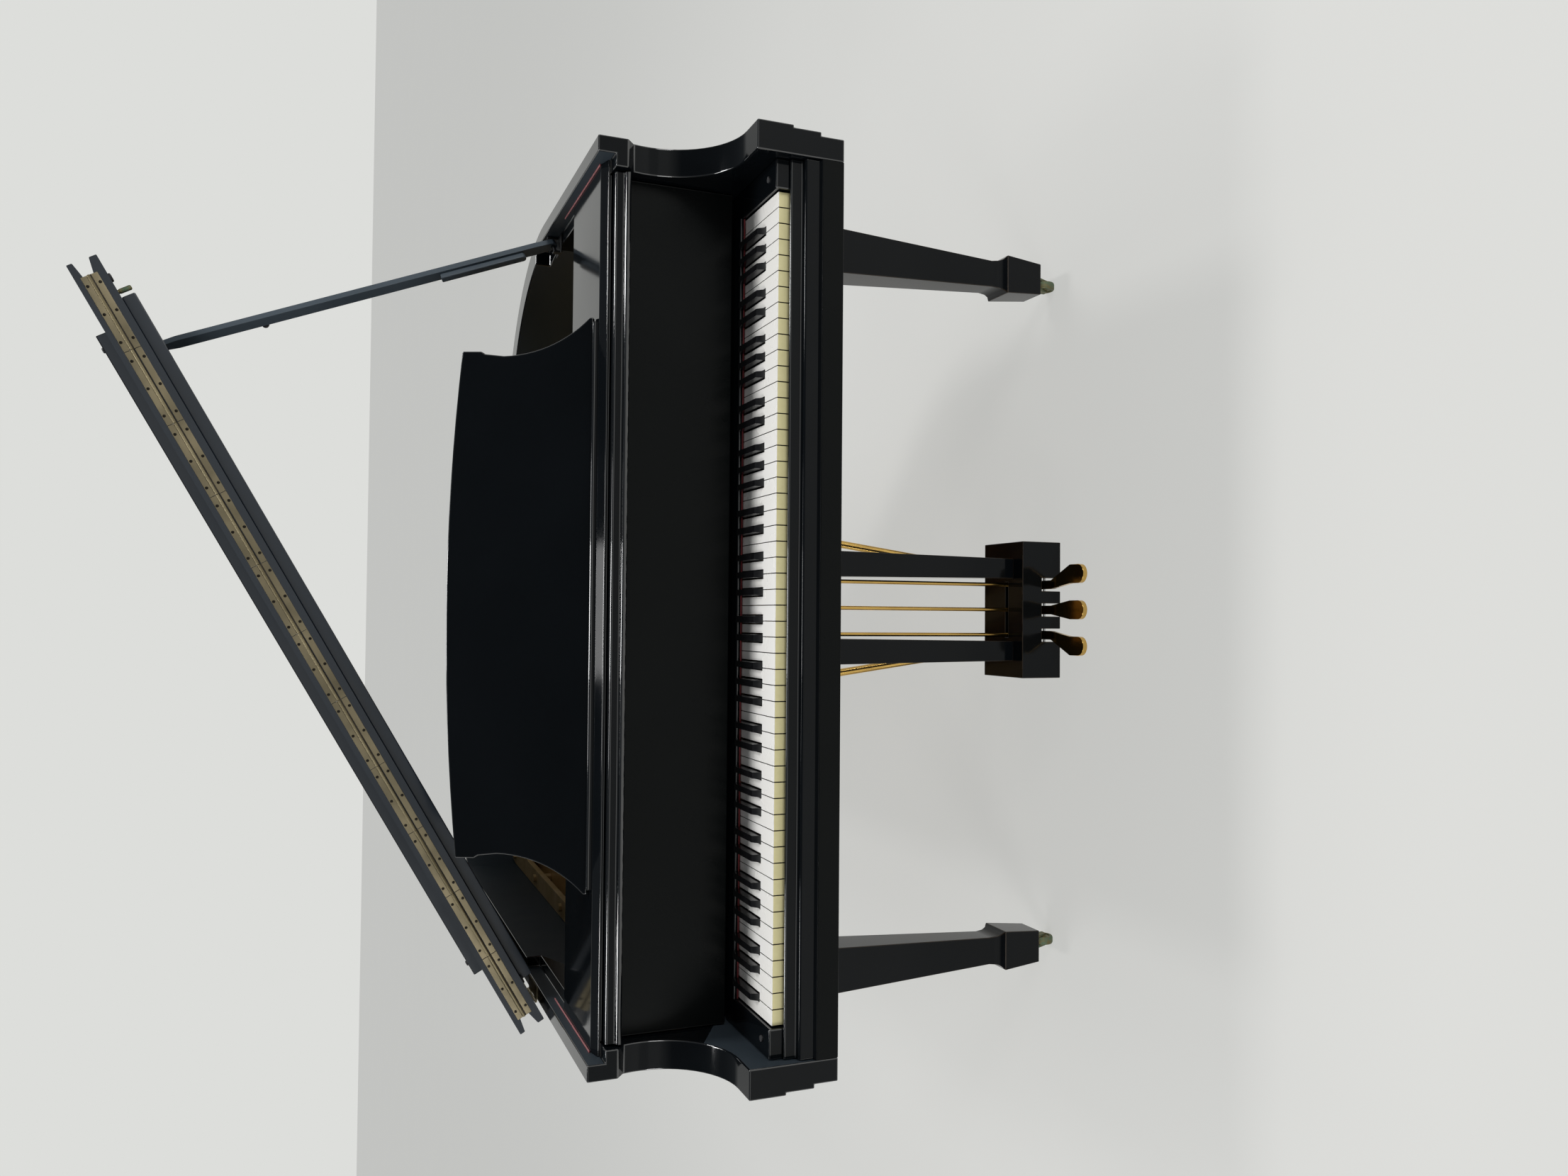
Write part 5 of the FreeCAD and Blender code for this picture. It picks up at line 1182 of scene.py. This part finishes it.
@dataclass
class Lid(Assembly):
    """Main lid, folded flap, batten and hinges, drawn closed and then raised.

    Attributes:
        plan: Plan of the case.
        hinge_x: X of the hinge line.
        hinge_z: Height of the hinge line.
        angle: How far the lid stands open, in degrees.
        overhang: How far the lid stands over the rim.
        under: Height of the closed lid's underside.
        thickness: Thickness of the main board.
        flap_thickness: Thickness of the flap.
        lip: Height of the flap's lip.
        fold: Y of the fold.
        flap_low: Height of the folded flap's lower face.
        flap_back: Back edge of the folded flap.
        bevel_run: Width of the sloped moulding round the upper face.
        bevel_fall: Fall of that moulding.
        leaf: Thickness of the long hinge's leaves.
        lid_leaf: Width of the leaf on the main board.
        flap_leaf: Width of the leaf on the flap.
        leaf_half: Half the length of the long hinge.
        knuckle_y: Y of the long hinge's axis.
        knuckle_z: Height of that axis.
        knuckle: Radius of the knuckles.
        segments: Knuckles along the hinge.
        screw_pitch: Distance between screws in a segment.
        screw_inset: Distance of the screws from a leaf's outer edge.
        screw_radius: Radius of a screw's head.
        screw_sink: How deep a screw's seat lies in its leaf.
        leaf_gap: Gap between two lengths of the hinge.
        backing_y: Front and back of the strip behind the knuckles, painted dark as shade, from the fold.
        fold_round: Radius along the fold edges.
        batten_x: Ends of the batten.
        batten_y: Its front and back.
        batten_low: Its underside.
        lip_inset: Distance of the lip from the flap's ends.
        lip_y: Front and back of the lip, from the flap's back edge.
        bumper_spots: X and Y of the buttons under the main board.
        peg_spot: X and Y of the peg by the batten.
        lip_bumper: X of the buttons on the lip and their distance from the flap's back edge.
    """

    plan: CasePlan = field(default_factory=CasePlan)
    hinge_x: float = -706.2
    hinge_z: float = 978.5
    angle: float = 29.4
    overhang: float = 12.0
    under: float = 981.0
    thickness: float = 22.0
    flap_thickness: float = 17.0
    lip: float = 25.0
    fold: float = 454.0
    flap_low: float = 1010.0
    flap_back: float = 816.0
    bevel_run: float = 32.0
    bevel_fall: float = 8.5
    leaf: float = 1.2
    lid_leaf: float = 10.5
    flap_leaf: float = 8.5
    leaf_half: float = 692.0
    knuckle_y: float = 452.5
    knuckle_z: float = 1006.5
    knuckle: float = 2.4
    segments: int = 11
    screw_pitch: float = 47.0
    screw_inset: float = 3.4
    screw_radius: float = 2.8
    screw_sink: float = 0.3
    leaf_gap: float = 0.7
    backing_y: Pair = (1.3, 3.6)
    fold_round: float = 2.0
    batten_x: Pair = (-642.0, 650.0)
    batten_y: Pair = (475.0, 500.0)
    batten_low: float = 960.0
    lip_inset: float = 26.0
    lip_y: Pair = (-25.0, -5.0)
    bumper_spots: tuple[Pair, ...] = ((681.0, 470.0), (-640.0, 470.0), (676.0, 700.0), (-330.0, 1560.0))
    peg_spot: Pair = (662.0, 488.0)
    lip_bumper: Pair = (664.0, 15.0)

    def raised(self) -> Matrix:
        """Turn that carries the closed lid to where the prop holds it."""
        foot = Matrix.Translation(Vector((self.hinge_x, 0.0, self.hinge_z)) * MM)
        turn = Matrix.Rotation(math.radians(self.angle), 4, Vector((0.0, -1.0, 0.0)))
        return foot @ turn @ foot.inverted()

    def raise_and_put(self, name: str, bm: BMesh, finishes: Sequence[Finish], body: str, slot: str,
                      replaced: Iterable[str] = ()) -> None:
        """Raise a mesh that was drawn closed and make it a piece, as put does.

        Args:
            name: Name of the piece.
            bm: Its mesh in metres, on the closed lid.
            finishes: Its materials in order.
            body: Body it rides on.
            slot: Slot of the record.
            replaced: Nodes it stands for.
        """
        bmesh.ops.transform(bm, matrix=self.raised(), verts=bm.verts)
        self.put(name, bm, finishes, body, slot, replaced)

    def build(self) -> None:
        """Make the boards, the long hinge and the small fittings."""
        self.main_board()
        self.flap_board()
        self.batten()
        self.long_hinge()
        self.eased("lid_hinge_case_leaves", BRASS, "brass", Ease.HAIR)
        self.eased("lid_hinge_lid_leaves", BRASS, "brass", Ease.HAIR)
        self.bumpers()

    def edge_steps(self, thickness: float) -> list[Pair]:
        """Inset and height of each ring round a board, from its plain face to its moulded face.

        Args:
            thickness: Thickness of the board.

        Returns:
            Pairs in millimetres, the plain face at height zero.
        """
        slope = thickness - self.bevel_fall * thickness / self.thickness - 1.6
        return [(1.4, 0.0), (0.4, 0.4), (0.0, 1.4),
                (0.0, slope - 1.4), (0.4, slope - 0.4), (1.6, slope + 0.2),
                (self.bevel_run - 0.6, thickness - 3.2), (self.bevel_run, thickness - 2.8),
                (self.bevel_run + 0.2, thickness - 0.4), (self.bevel_run + 0.8, thickness)]

    def ease_front(self, bm: BMesh) -> None:
        """Round a board's long edges along the fold, paint window light on the face between and mark the
        lowest face.

        Args:
            bm: Mesh of the closed board.
        """
        fold, bend = self.fold * MM, self.fold_round * MM
        long = [e for e in bm.edges if all(abs(v.co.y - fold) < 1e-6 for v in e.verts)
                and abs(e.verts[0].co.z - e.verts[1].co.z) < 1e-6 and e.calc_face_angle(0.0) > 1.0]
        bmesh.ops.bevel(bm, geom=long, offset=bend, segments=4, profile=0.5, affect="EDGES")
        # Faces along the fold take the painted window light.
        for face in bm.faces:
            if face.calc_center_median().y < fold + bend:
                face.material_index = LidFace.FOLD
        min(bm.faces, key=lambda face: face.calc_center_median().z).material_index = LidFace.LOWEST

    def main_board(self) -> None:
        """The large board that follows the case."""
        bm = bmesh.new()
        rings = []
        for inset, height in self.edge_steps(self.thickness):
            ring = self.plan.outline(inset - self.overhang, self.fold)
            rings.append([Vector((x, y, self.under + height)) * MM for x, y in ring])
        stack(bm, rings)
        self.ease_front(bm)
        self.raise_and_put("lid_main_moulded", bm, [LACQUER, PAINTED_WINDOW_LIGHT, SATIN], "lid", "black_lacquer",
                           ["lid_main"])

    def batten(self) -> None:
        """Straight stiffener under the main board, behind the fold."""
        bm = bmesh.new()
        levels = (self.batten_low, self.under + 0.2)
        block(bm, *zip(self.batten_x, self.batten_y, levels), ease=Ease.SOFT.value)
        for face in bm.faces:
            # The batten's front face takes the painted window light.
            face.material_index = LidFace.FOLD if face.normal.y < -0.7 else LidFace.POLISHED
        self.raise_and_put("lid_batten_planed", bm, [LACQUER, PAINTED_WINDOW_LIGHT], "lid", "black_lacquer", ["lid_batten"])

    def flap_board(self) -> None:
        """The front flap, folded back on its moulded face, with its lip."""
        bm = bmesh.new()
        half = self.plan.half_width + self.overhang
        top = self.flap_low + self.flap_thickness
        rings = []
        for inset, height in reversed(self.edge_steps(self.flap_thickness)):
            wide, back, z = half - inset, self.flap_back - inset, top - height
            rings.append([Vector(p) * MM for p in ((-wide, self.fold, z), (wide, self.fold, z),
                                                   (wide, back, z), (-wide, back, z))])
        stack(bm, rings)
        self.ease_front(bm)
        reach = half - self.lip_inset
        depth = [self.flap_back + y for y in self.lip_y]
        # The lip's faces take the painted window light too.
        block(bm, *zip((-reach, reach), depth, (top - 0.2, top + self.lip)), ease=1.6, finish=LidFace.FOLD)
        self.raise_and_put("lid_flap_moulded", bm, [LACQUER, PAINTED_WINDOW_LIGHT, LACQUER], "flap", "black_lacquer",
                           ["lid_flap"])

    def long_hinge(self) -> None:
        """Brass leaves in short lengths with three screws each, and the knuckles between them."""
        pitch = 2 * self.leaf_half / self.segments
        lid_top = self.under + self.thickness
        depth = (self.fold - self.leaf, self.fold)
        seat = depth[0] + self.screw_sink
        for on_flap, low, high, body, node in (
                (False, lid_top - self.lid_leaf, lid_top - 0.8, "lid", "flap_hinge_lid_leaf"),
                (True, self.flap_low - 0.8, self.flap_low + self.flap_leaf, "flap", "flap_hinge_flap_leaf")):
            bm = bmesh.new()
            line = high - self.screw_inset if on_flap else low + self.screw_inset
            web = (self.knuckle_z, self.flap_low) if on_flap else (lid_top - 1.0, self.knuckle_z)
            # The flap's webs take the knuckles' painted highlight, the lid's webs the painted shade of the
            # gap.
            web_finish = HingeFace.KNUCKLE if on_flap else HingeFace.WEB
            for segment in range(self.segments):
                start = segment * pitch - self.leaf_half + self.leaf_gap / 2
                stop = start + pitch - self.leaf_gap
                block(bm, *zip((start, stop), depth, (low, high)), ease=0.5)
                for step in (-1, 0, 1):
                    spot = (start + stop) / 2 + step * self.screw_pitch
                    screw_head(bm, (spot, seat, line), (0, -1, 0), self.screw_radius, HingeFace.SCREW)
                if segment % 2 == int(on_flap):
                    self.knuckle_on(bm, (start, stop), depth, web, web_finish)
            # A strip in painted shade darkens the gap behind the knuckles.
            if not on_flap:
                behind = [self.fold + y for y in self.backing_y]
                levels = (lid_top - 0.2, self.flap_low - 0.6)
                block(bm, *zip((-self.leaf_half, self.leaf_half), behind, levels), 0.3, HingeFace.WEB)
            self.raise_and_put(f"{node}_screwed", bm, [BRASS, DARK_SCREW, HINGE_GAP_PAINTED_SHADE, KNUCKLE_PAINTED_HIGHLIGHT], body,
                               "brass", [node])

    def knuckle_on(self, bm: BMesh, ends: Pair, depth: Pair, web: Pair, finish: int) -> None:
        """Add a knuckle and the web that carries it.

        Args:
            bm: Mesh of the hinge on the closed lid.
            ends: Its ends across the lid.
            depth: Front and back of the web.
            web: Foot and top of the web.
            finish: Number of the web's material.
        """
        block(bm, *zip(ends, depth, web), ease=0.2, finish=finish)
        length, radius = ends[1] - ends[0], self.knuckle
        # The knuckle takes the paler brass of a painted highlight.
        turned(bm, [(radius - 0.4, 0), (radius, 0.5), (radius, length - 0.5), (radius - 0.4, length)],
               towards((ends[0], self.knuckle_y, self.knuckle_z), (1, 0, 0)), 16, HingeFace.KNUCKLE)

    def bumpers(self) -> None:
        """Rubber buttons under the main board and on the flap's lip, and a peg by the batten."""
        lid, flap = bmesh.new(), bmesh.new()
        for spot in self.bumper_spots:
            turned(lid, [(7.0, 0.2), (7.2, -1.6), (6.2, -3.0), (3.0, -3.4)],
                   towards((*spot, self.under), UP), 20)
        turned(lid, [(3.4, 0.2), (3.4, -2.0), (4.0, -2.6), (4.0, -18.8), (3.2, -20.2), (1.8, -20.8)],
               towards((*self.peg_spot, self.under), UP), 20, 1)
        lip = self.flap_low + self.flap_thickness + self.lip
        for side in Side:
            spot = (self.lip_bumper[0] * side.value, self.flap_back - self.lip_bumper[1], lip)
            turned(flap, [(5.0, -0.2), (5.2, 1.4), (4.2, 2.6), (2.0, 2.9)], towards(spot, UP), 20)
        self.raise_and_put("lid_bumpers", lid, [RUBBER, AGED_BRASS], "lid", "damper_black")
        self.raise_and_put("flap_bumpers", flap, [RUBBER], "flap", "damper_black")


@dataclass
class Prop(Assembly):
    """Long prop with its knob, the short prop nested on it and the bracket at its foot.

    Attributes:
        foot: Pivot of the prop in millimetres.
        direction: Direction from the foot to the head.
        axis: Axis the prop folds about.
        knob_at: Distance of the knob from the foot.
        width: Width of the prop.
    """

    foot: tuple[float, float, float] = (664.0, 545.0, 962.5)
    direction: tuple[float, float, float] = (-0.3317, 0.1347, 0.9337)
    axis: tuple[float, float, float] = (-0.7929, -0.5761, -0.1986)
    knob_at: float = 520.0
    width: float = 18.0

    def build(self) -> None:
        """Finish the prop."""
        # Both props take the slate grey of painted glare.
        self.eased("lid_prop", HANDLED_PAINTED_GLARE, "black_lacquer", Ease.SOFT)
        self.eased("short_prop", HANDLED_PAINTED_GLARE, "black_lacquer", Ease.SOFT)
        self.eased("prop_bracket", BLACK_IRON, "aged_brass", Ease.SANDED)
        along, across = Vector(self.direction), Vector(self.axis)
        side = along.cross(across).normalized()
        bm = bmesh.new()
        spot = Vector(self.foot) + along * self.knob_at - side * (self.width / 2)
        turned(bm, [(3.6, -0.5), (3.6, 1.5), (5.4, 2.6), (5.8, 5.0), (4.4, 7.0), (2.0, 7.6)],
               towards(spot, -side), 20)
        self.put("prop_knob", bm, [RUBBER], "lid_prop", "damper_black")


@dataclass
class Front(Assembly):
    """Fallboard over the keys, sliding tray and the music desk with its stay.

    Attributes:
        board_half: Half the width of the fallboard.
        board_y: Front face and back of the fallboard.
        board_z: Its lower and upper edge.
        board_ease: How far its plain edges are cut.
        nose_front: Front of its rounded nose.
        nose_low: Underside of the nose.
        pivot: Y and Z of its pins.
        pin_radius: Radius of its pins.
        pin_length: Length of its pins.
        cove: Radius of the hollow under the nose.
        shelf_round: Radius of the curves above the bead.
        bead: Height of the bead along the foot of the nose.
        recess: How far the nose steps back above the bead.
        tray_half: Half the width of the tray.
        tray_y: Front and back of the tray.
        tray_z: Its underside and top.
        tray_nose: Radius along its lower front edge.
        edge_round: Radius along the upper front edge of the tray.
        edge_back: How far that edge lies behind the front.
        apron_half: Half the length of the apron under the tray's front.
        apron_low: Underside of the apron.
        apron_y: Front and back of the apron, from the tray's front.
        ledge_half: Half the length of the ledge that stops a score.
        ledge: Front and back of the ledge.
        ledge_rise: Height of the ledge.
        ledge_rounds: Radius along its front and back upper edges.
    """

    board_half: float = 657.0
    board_y: Pair = (160.0, 176.0)
    board_z: Pair = (747.0, 946.0)
    board_ease: float = 1.2
    nose_front: float = 122.9
    nose_low: float = 922.0
    pivot: Pair = (172.0, 758.0)
    pin_radius: float = 4.0
    pin_length: float = 8.0
    cove: float = 6.0
    shelf_round: float = 3.0
    bead: float = 9.0
    recess: float = 6.1
    tray_half: float = 678.5
    tray_y: Pair = (145.0, 365.0)
    tray_z: Pair = (950.0, 960.0)
    tray_nose: float = 1.8
    edge_round: float = 6.0
    edge_back: float = 23.5
    apron_half: float = 656.0
    apron_low: float = 946.7
    apron_y: Pair = (1.0, 13.0)
    ledge_half: float = 436.0
    ledge: Pair = (173.0, 181.0)
    ledge_rise: float = 8.0
    ledge_rounds: Pair = (4.0, 2.0)

    def build(self) -> None:
        """Finish the front of the piano."""
        self.fallboard()
        self.tray()
        self.eased("music_desk", LACQUER, "black_lacquer", Ease.SOFT, edge=GLOSS)
        self.eased("desk_stay", LACQUER, "black_lacquer", Ease.SANDED)

    def fallboard(self) -> None:
        """Board with a rubbed face, a polished nose with a bead along its foot, and its two pins."""
        bm = bmesh.new()
        cove, ease, bend, half_bead = self.cove, self.board_ease, self.shelf_round, self.bead / 2
        (face, back), (low, high) = self.board_y, self.board_z
        shelf, step = self.nose_low + self.bead, self.nose_front + self.recess
        section = [(face + ease, low), (back - ease, low), (back, low + ease), (back, high - ease),
                   (back - ease, high),
                   *arc((step + bend, high - bend), bend, 90, 180),
                   *arc((step - bend, shelf + bend), bend, 0, -90),
                   *arc((self.nose_front + half_bead, shelf - half_bead), half_bead, 90, 270, 14),
                   *arc((face - cove, self.nose_low - cove), cove, 90, 0),
                   (face, low + ease)]
        for piece in run_across(bm, section, self.board_half, ease=0.8, arcs=BoardFace.CURVE):
            middle = piece.calc_center_median() / MM
            plain = middle.z <= self.nose_low - cove and abs(middle.y - face) <= 0.5
            if piece.material_index != BoardFace.CURVE and not plain:
                piece.material_index = BoardFace.POLISHED
        for side in Side:
            start = (self.board_half - 0.5) * side.value
            turned(bm, [(self.pin_radius, 0.0), (self.pin_radius, self.pin_length),
                        (self.pin_radius - 0.6, self.pin_length + 0.5)],
                   towards((start, *self.pivot), (side.value, 0, 0)), 20, BoardFace.PIN)
        self.put("fallboard_moulded", bm, [SATIN, LACQUER, STEEL, GLOSS], "fallboard", "black_lacquer",
                 ["fallboard"])

    def tray(self) -> None:
        """Polished tray with a sloped front, its apron and the ledge before the desk."""
        bm = bmesh.new()
        (front, back), (low, high) = self.tray_y, self.tray_z
        edge = (front + self.edge_back, high - self.edge_round)
        slope = 90 + math.degrees(math.atan2(high - low - 3.0, self.edge_back - 4.0))
        run_across(bm, [(back - 1.0, low), (back, low + 1.0), (back, high - 1.0), (back - 1.0, high),
                        *arc(edge, self.edge_round, 90, slope, 3),
                        *arc((front + self.tray_nose, low + 1.5), self.tray_nose, slope, 240)],
                   self.tray_half, ease=0.8, arcs=Coat.EDGE)
        near, far = (front + y for y in self.apron_y)
        bead = (low + 0.2 - self.apron_low) / 2
        run_across(bm, [(far, self.apron_low), (far, low + 0.2),
                        *arc((near + bead, self.apron_low + bead), bead, 90, 270)],
                   self.apron_half, ease=0.4, arcs=Coat.EDGE)
        (start, stop), (wide, small) = self.ledge, self.ledge_rounds
        top = high + self.ledge_rise
        run_across(bm, [(start, high - 0.2), (stop, high - 0.2),
                        *arc((stop - small, top - small), small, 0, 90, 5),
                        *arc((start + wide, top - wide), wide, 90, 180)],
                   self.ledge_half, ease=1.5, arcs=Coat.EDGE)
        self.put("music_tray_moulded", bm, [LACQUER, GLOSS], "music_tray", "black_lacquer", ["music_tray"])


@dataclass
class Stand(Assembly):
    """Three tapered legs on casters.

    Attributes:
        legs: Name and plan place of each leg.
        radius: Radius of a wheel.
        width: Width of a wheel.
        trail: How far a wheel trails behind its stem.
    """

    legs: tuple[tuple[str, float, float], ...] = (
        ("front_left", -643.0, 345.0), ("front_right", 643.0, 345.0), ("rear", -230.0, 1400.0))
    radius: float = 22.0
    width: float = 15.0
    trail: float = 16.0

    def build(self) -> None:
        """Finish the legs and turn the wheels."""
        for name, x, y in self.legs:
            self.eased(f"{name}_leg", LACQUER, "black_lacquer", Ease.SANDED, edge=WORN)
            self.eased(f"{name}_caster_fork", AGED_BRASS, "aged_brass", Ease.SANDED)
            self.wheel(name, x, y)

    def wheel(self, name: str, x: float, y: float) -> None:
        """Turn a brass wheel with a hollow face and rounded tread.

        Args:
            name: Name of the leg.
            x: Plan place of the leg.
            y: Plan place of the leg.
        """
        bm = bmesh.new()
        half, r = self.width / 2, self.radius
        face = [(4.2, 0.0), (9.0, 0.0), (9.8, 1.6), (r - 6.5, 2.2), (r - 5.4, 0.4), (r - 1.6, 0.4),
                (r - 0.3, 2.2), (r, 4.0)]
        profile = [(out, depth - half) for out, depth in face]
        profile += [(out, half - depth) for out, depth in reversed(face)]
        turned(bm, profile, towards((x, y + self.trail, r), (1, 0, 0)), 48)
        node = f"{name}_caster_wheel"
        self.put(f"{node}_turned", bm, [AGED_BRASS], node, "aged_brass", [node], smooth=35.0)


@dataclass
class Lyre(Assembly):
    """Lyre posts, pedal box, pedals, rods and braces.

    Attributes:
        pedals: Name of each pedal and the X of its rod.
        rod_y: Y of the rods.
        rod_low: Foot of the rods.
        rod_high: Head of the rods.
        rod_radius: Radius of a rod.
    """

    pedals: tuple[tuple[str, float], ...] = (("left", -46.5), ("middle", 0.0), ("right", 46.5))
    rod_y: float = 273.0
    rod_low: float = 104.3
    rod_high: float = 650.0
    rod_radius: float = 3.5

    def build(self) -> None:
        """Finish the lyre and its pedals."""
        self.eased("lyre_posts", LACQUER, "black_lacquer", Ease.SANDED, edge=WORN)
        self.eased("pedal_box", LACQUER, "black_lacquer", Ease.SANDED, edge=WORN)
        self.eased("lyre_braces", POLISHED_BRASS, "brass", Ease.HAIR)
        self.keep("pedal_axle", STEEL)
        for name, x in self.pedals:
            self.eased(f"{name}_pedal", POLISHED_BRASS, "brass", Ease.SOFT)
            bm = bmesh.new()
            length = self.rod_high - self.rod_low
            r = self.rod_radius
            turned(bm, [(r * 0.6, 0.0), (r, 1.2), (r, length - 1.2), (r * 0.6, length)],
                   towards((x, self.rod_y, self.rod_low), UP), 24)
            self.put(f"{name}_pedal_rod_drawn", bm, [POLISHED_BRASS], f"{name}_pedal_rod", "brass",
                     [f"{name}_pedal_rod"])


@dataclass
class Studio:
    """Pale floor, soft lamps, pale surroundings and the camera.

    Attributes:
        eye: Camera place in millimetres.
        yaw: Turn to the treble, in radians.
        pitch: Turn downwards, in radians.
        roll: Tilt about the view, in radians.
        focal_px: Focal length in picture points.
        picture_width: Width of the picture in points.
        sensor: Sensor width in millimetres.
        floor_half: Half the width of the floor in metres.
        floor_glow: Share of the floor that is pale whatever light falls on it.
        pale: Colour of the surroundings as sRGB hex.
        ceiling: Their colour overhead as sRGB hex.
        fill: Strength of the surroundings as light.
        fill_colour: Colour of that light as sRGB hex.
        climb: Heights of view, as a sine, between which pale turns to ceiling.
    """

    eye: tuple[float, float, float] = (-19.28, -1616.35, 1367.76)
    yaw: float = 0.0276
    pitch: float = 0.3825
    roll: float = 0.0185
    focal_px: float = 1668.15
    picture_width: float = 2212.0
    sensor: float = 36.0
    floor_half: float = 30.0
    floor_glow: float = 0.66
    pale: str = "#dddedb"
    ceiling: str = "#5b5e60"
    fill: float = 0.3
    fill_colour: str = "#e4e6e8"
    climb: Pair = (0.2, 0.5)

    def build(self) -> None:
        """Set up everything round the piano."""
        self.floor()
        self.surroundings()
        self.lamps()
        self.camera()

    def floor(self) -> None:
        """A plain pale floor that keeps a third of every shadow."""
        bm = bmesh.new()
        bmesh.ops.create_grid(bm, x_segments=4, y_segments=4, size=self.floor_half)
        mesh = bpy.data.meshes.new("floor")
        bm.to_mesh(mesh)
        bm.free()
        made = FLOOR.material()
        tree = made.node_tree
        share = add(tree, "Math", {0: self.seen(tree), 1: self.floor_glow}, operation="MULTIPLY")
        pale = add(tree, "Emission", {"Color": linear(self.pale), "Strength": 1.0})
        both = add(tree, "MixShader", {0: share.outputs[0], 1: tree.nodes["Principled BSDF"].outputs[0],
                                       2: pale.outputs[0]})
        tree.links.new(both.outputs[0], tree.nodes["Material Output"].inputs["Surface"])
        mesh.materials.append(made)
        floor = bpy.data.objects.new("floor", mesh)
        bpy.context.scene.collection.objects.link(floor)

    def seen(self, tree: Tree) -> Socket:
        """One for a ray from the camera, off gloss or through glass.

        Args:
            tree: Node tree of the floor or the surroundings.

        Returns:
            The output that holds it.
        """
        path = add(tree, "LightPath", {})
        first = add(tree, "Math", {0: path.outputs["Is Camera Ray"], 1: path.outputs["Is Glossy Ray"]},
                    operation="MAXIMUM")
        return add(tree, "Math", {0: first.outputs[0], 1: path.outputs["Is Transmission Ray"]},
                   operation="MAXIMUM").outputs[0]

    def surroundings(self) -> None:
        """Pale surroundings that camera, gloss and glass see at full strength, and a dimmer fill."""
        world = bpy.data.worlds.new("studio")
        bpy.context.scene.world = world
        world.use_nodes = True
        tree = world.node_tree
        tree.nodes.clear()
        fill = add(tree, "Background", {"Color": linear(self.fill_colour), "Strength": self.fill})
        level = add(tree, "Background", {"Color": linear(self.pale), "Strength": 1.0})
        above = add(tree, "Background", {"Color": linear(self.ceiling), "Strength": 1.0})
        way = add(tree, "SeparateXYZ", {0: add(tree, "TexCoord", {}).outputs["Generated"]})
        climb = add(tree, "MapRange", {"Value": way.outputs["Z"], "From Min": self.climb[0],
                                       "From Max": self.climb[1]})
        shown = add(tree, "MixShader", {0: climb.outputs[0], 1: level.outputs[0], 2: above.outputs[0]})
        both = add(tree, "MixShader", {0: self.seen(tree), 1: fill.outputs[0], 2: shown.outputs[0]})
        add(tree, "OutputWorld", {"Surface": both.outputs[0]})

    def lamps(self) -> None:
        """Three lamps overhead for lines of light along the edges, and soft ones round the piano."""
        for name, place, aim, size, power in (
                ("ceiling_lamp_treble", (1.2, 0.5, 3.1), (0.3, 0.2, 0.7), (0.45, 0.4), 23.0),
                ("ceiling_lamp_middle", (0.0, 0.5, 3.1), (0.0, 0.2, 0.7), (0.45, 0.4), 13.0),
                ("ceiling_lamp_bass", (-1.2, 0.5, 3.1), (-0.3, 0.2, 0.7), (0.45, 0.4), 17.0),
                ("bass_lamp", (-2.8, -2.6, 1.2), (0.0, 0.0, 0.8), (1.2, 1.2), 50.0),
                ("treble_lamp", (2.8, -2.6, 1.2), (0.0, 0.0, 0.8), (1.2, 1.2), 50.0),
                ("tail_lamp", (0.0, 2.0, 5.0), (0.0, 0.9, 0.9), (1.6, 1.6), 40.0)):
            lamp = bpy.data.lights.new(name, "AREA")
            lamp.shape = "RECTANGLE"
            lamp.size, lamp.size_y = size
            lamp.energy = power
            stand = bpy.data.objects.new(name, lamp)
            stand.location = place
            stand.rotation_euler = (Vector(aim) - Vector(place)).to_track_quat("-Z", "Y").to_euler()
            bpy.context.scene.collection.objects.link(stand)

    def camera(self) -> None:
        """The camera, held upright on its side so that the keyboard runs up the picture."""
        level = math.cos(self.pitch)
        ahead = Vector((math.sin(self.yaw) * level, math.cos(self.yaw) * level, -math.sin(self.pitch)))
        right = Vector((math.cos(self.yaw), -math.sin(self.yaw), 0.0))
        above = right.cross(ahead)
        tilted_right = math.cos(self.roll) * right + math.sin(self.roll) * above
        tilted_above = -math.sin(self.roll) * right + math.cos(self.roll) * above
        turn = Matrix((-tilted_above, tilted_right, -ahead)).transposed()
        lens = bpy.data.cameras.new("camera")
        lens.sensor_width = self.sensor
        lens.lens = self.focal_px * self.sensor / self.picture_width
        lens.clip_start = 0.02
        camera = bpy.data.objects.new("camera", lens)
        camera.matrix_world = Matrix.Translation(Vector(self.eye) * MM) @ turn.to_4x4()
        bpy.context.scene.collection.objects.link(camera)
        bpy.context.scene.camera = camera


def main() -> None:
    """Load the frame, dress it and set up the studio."""
    logging.basicConfig(level=logging.INFO, format="%(message)s")
    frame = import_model()
    bpy.context.scene.view_settings.view_transform = "Standard"
    for assembly in (Case, Keyboard, StrungPlate, Action, Lid, Prop, Front, Stand, Lyre):
        assembly(frame).build()
    Studio().build()


if __name__ == "__main__":
    main()
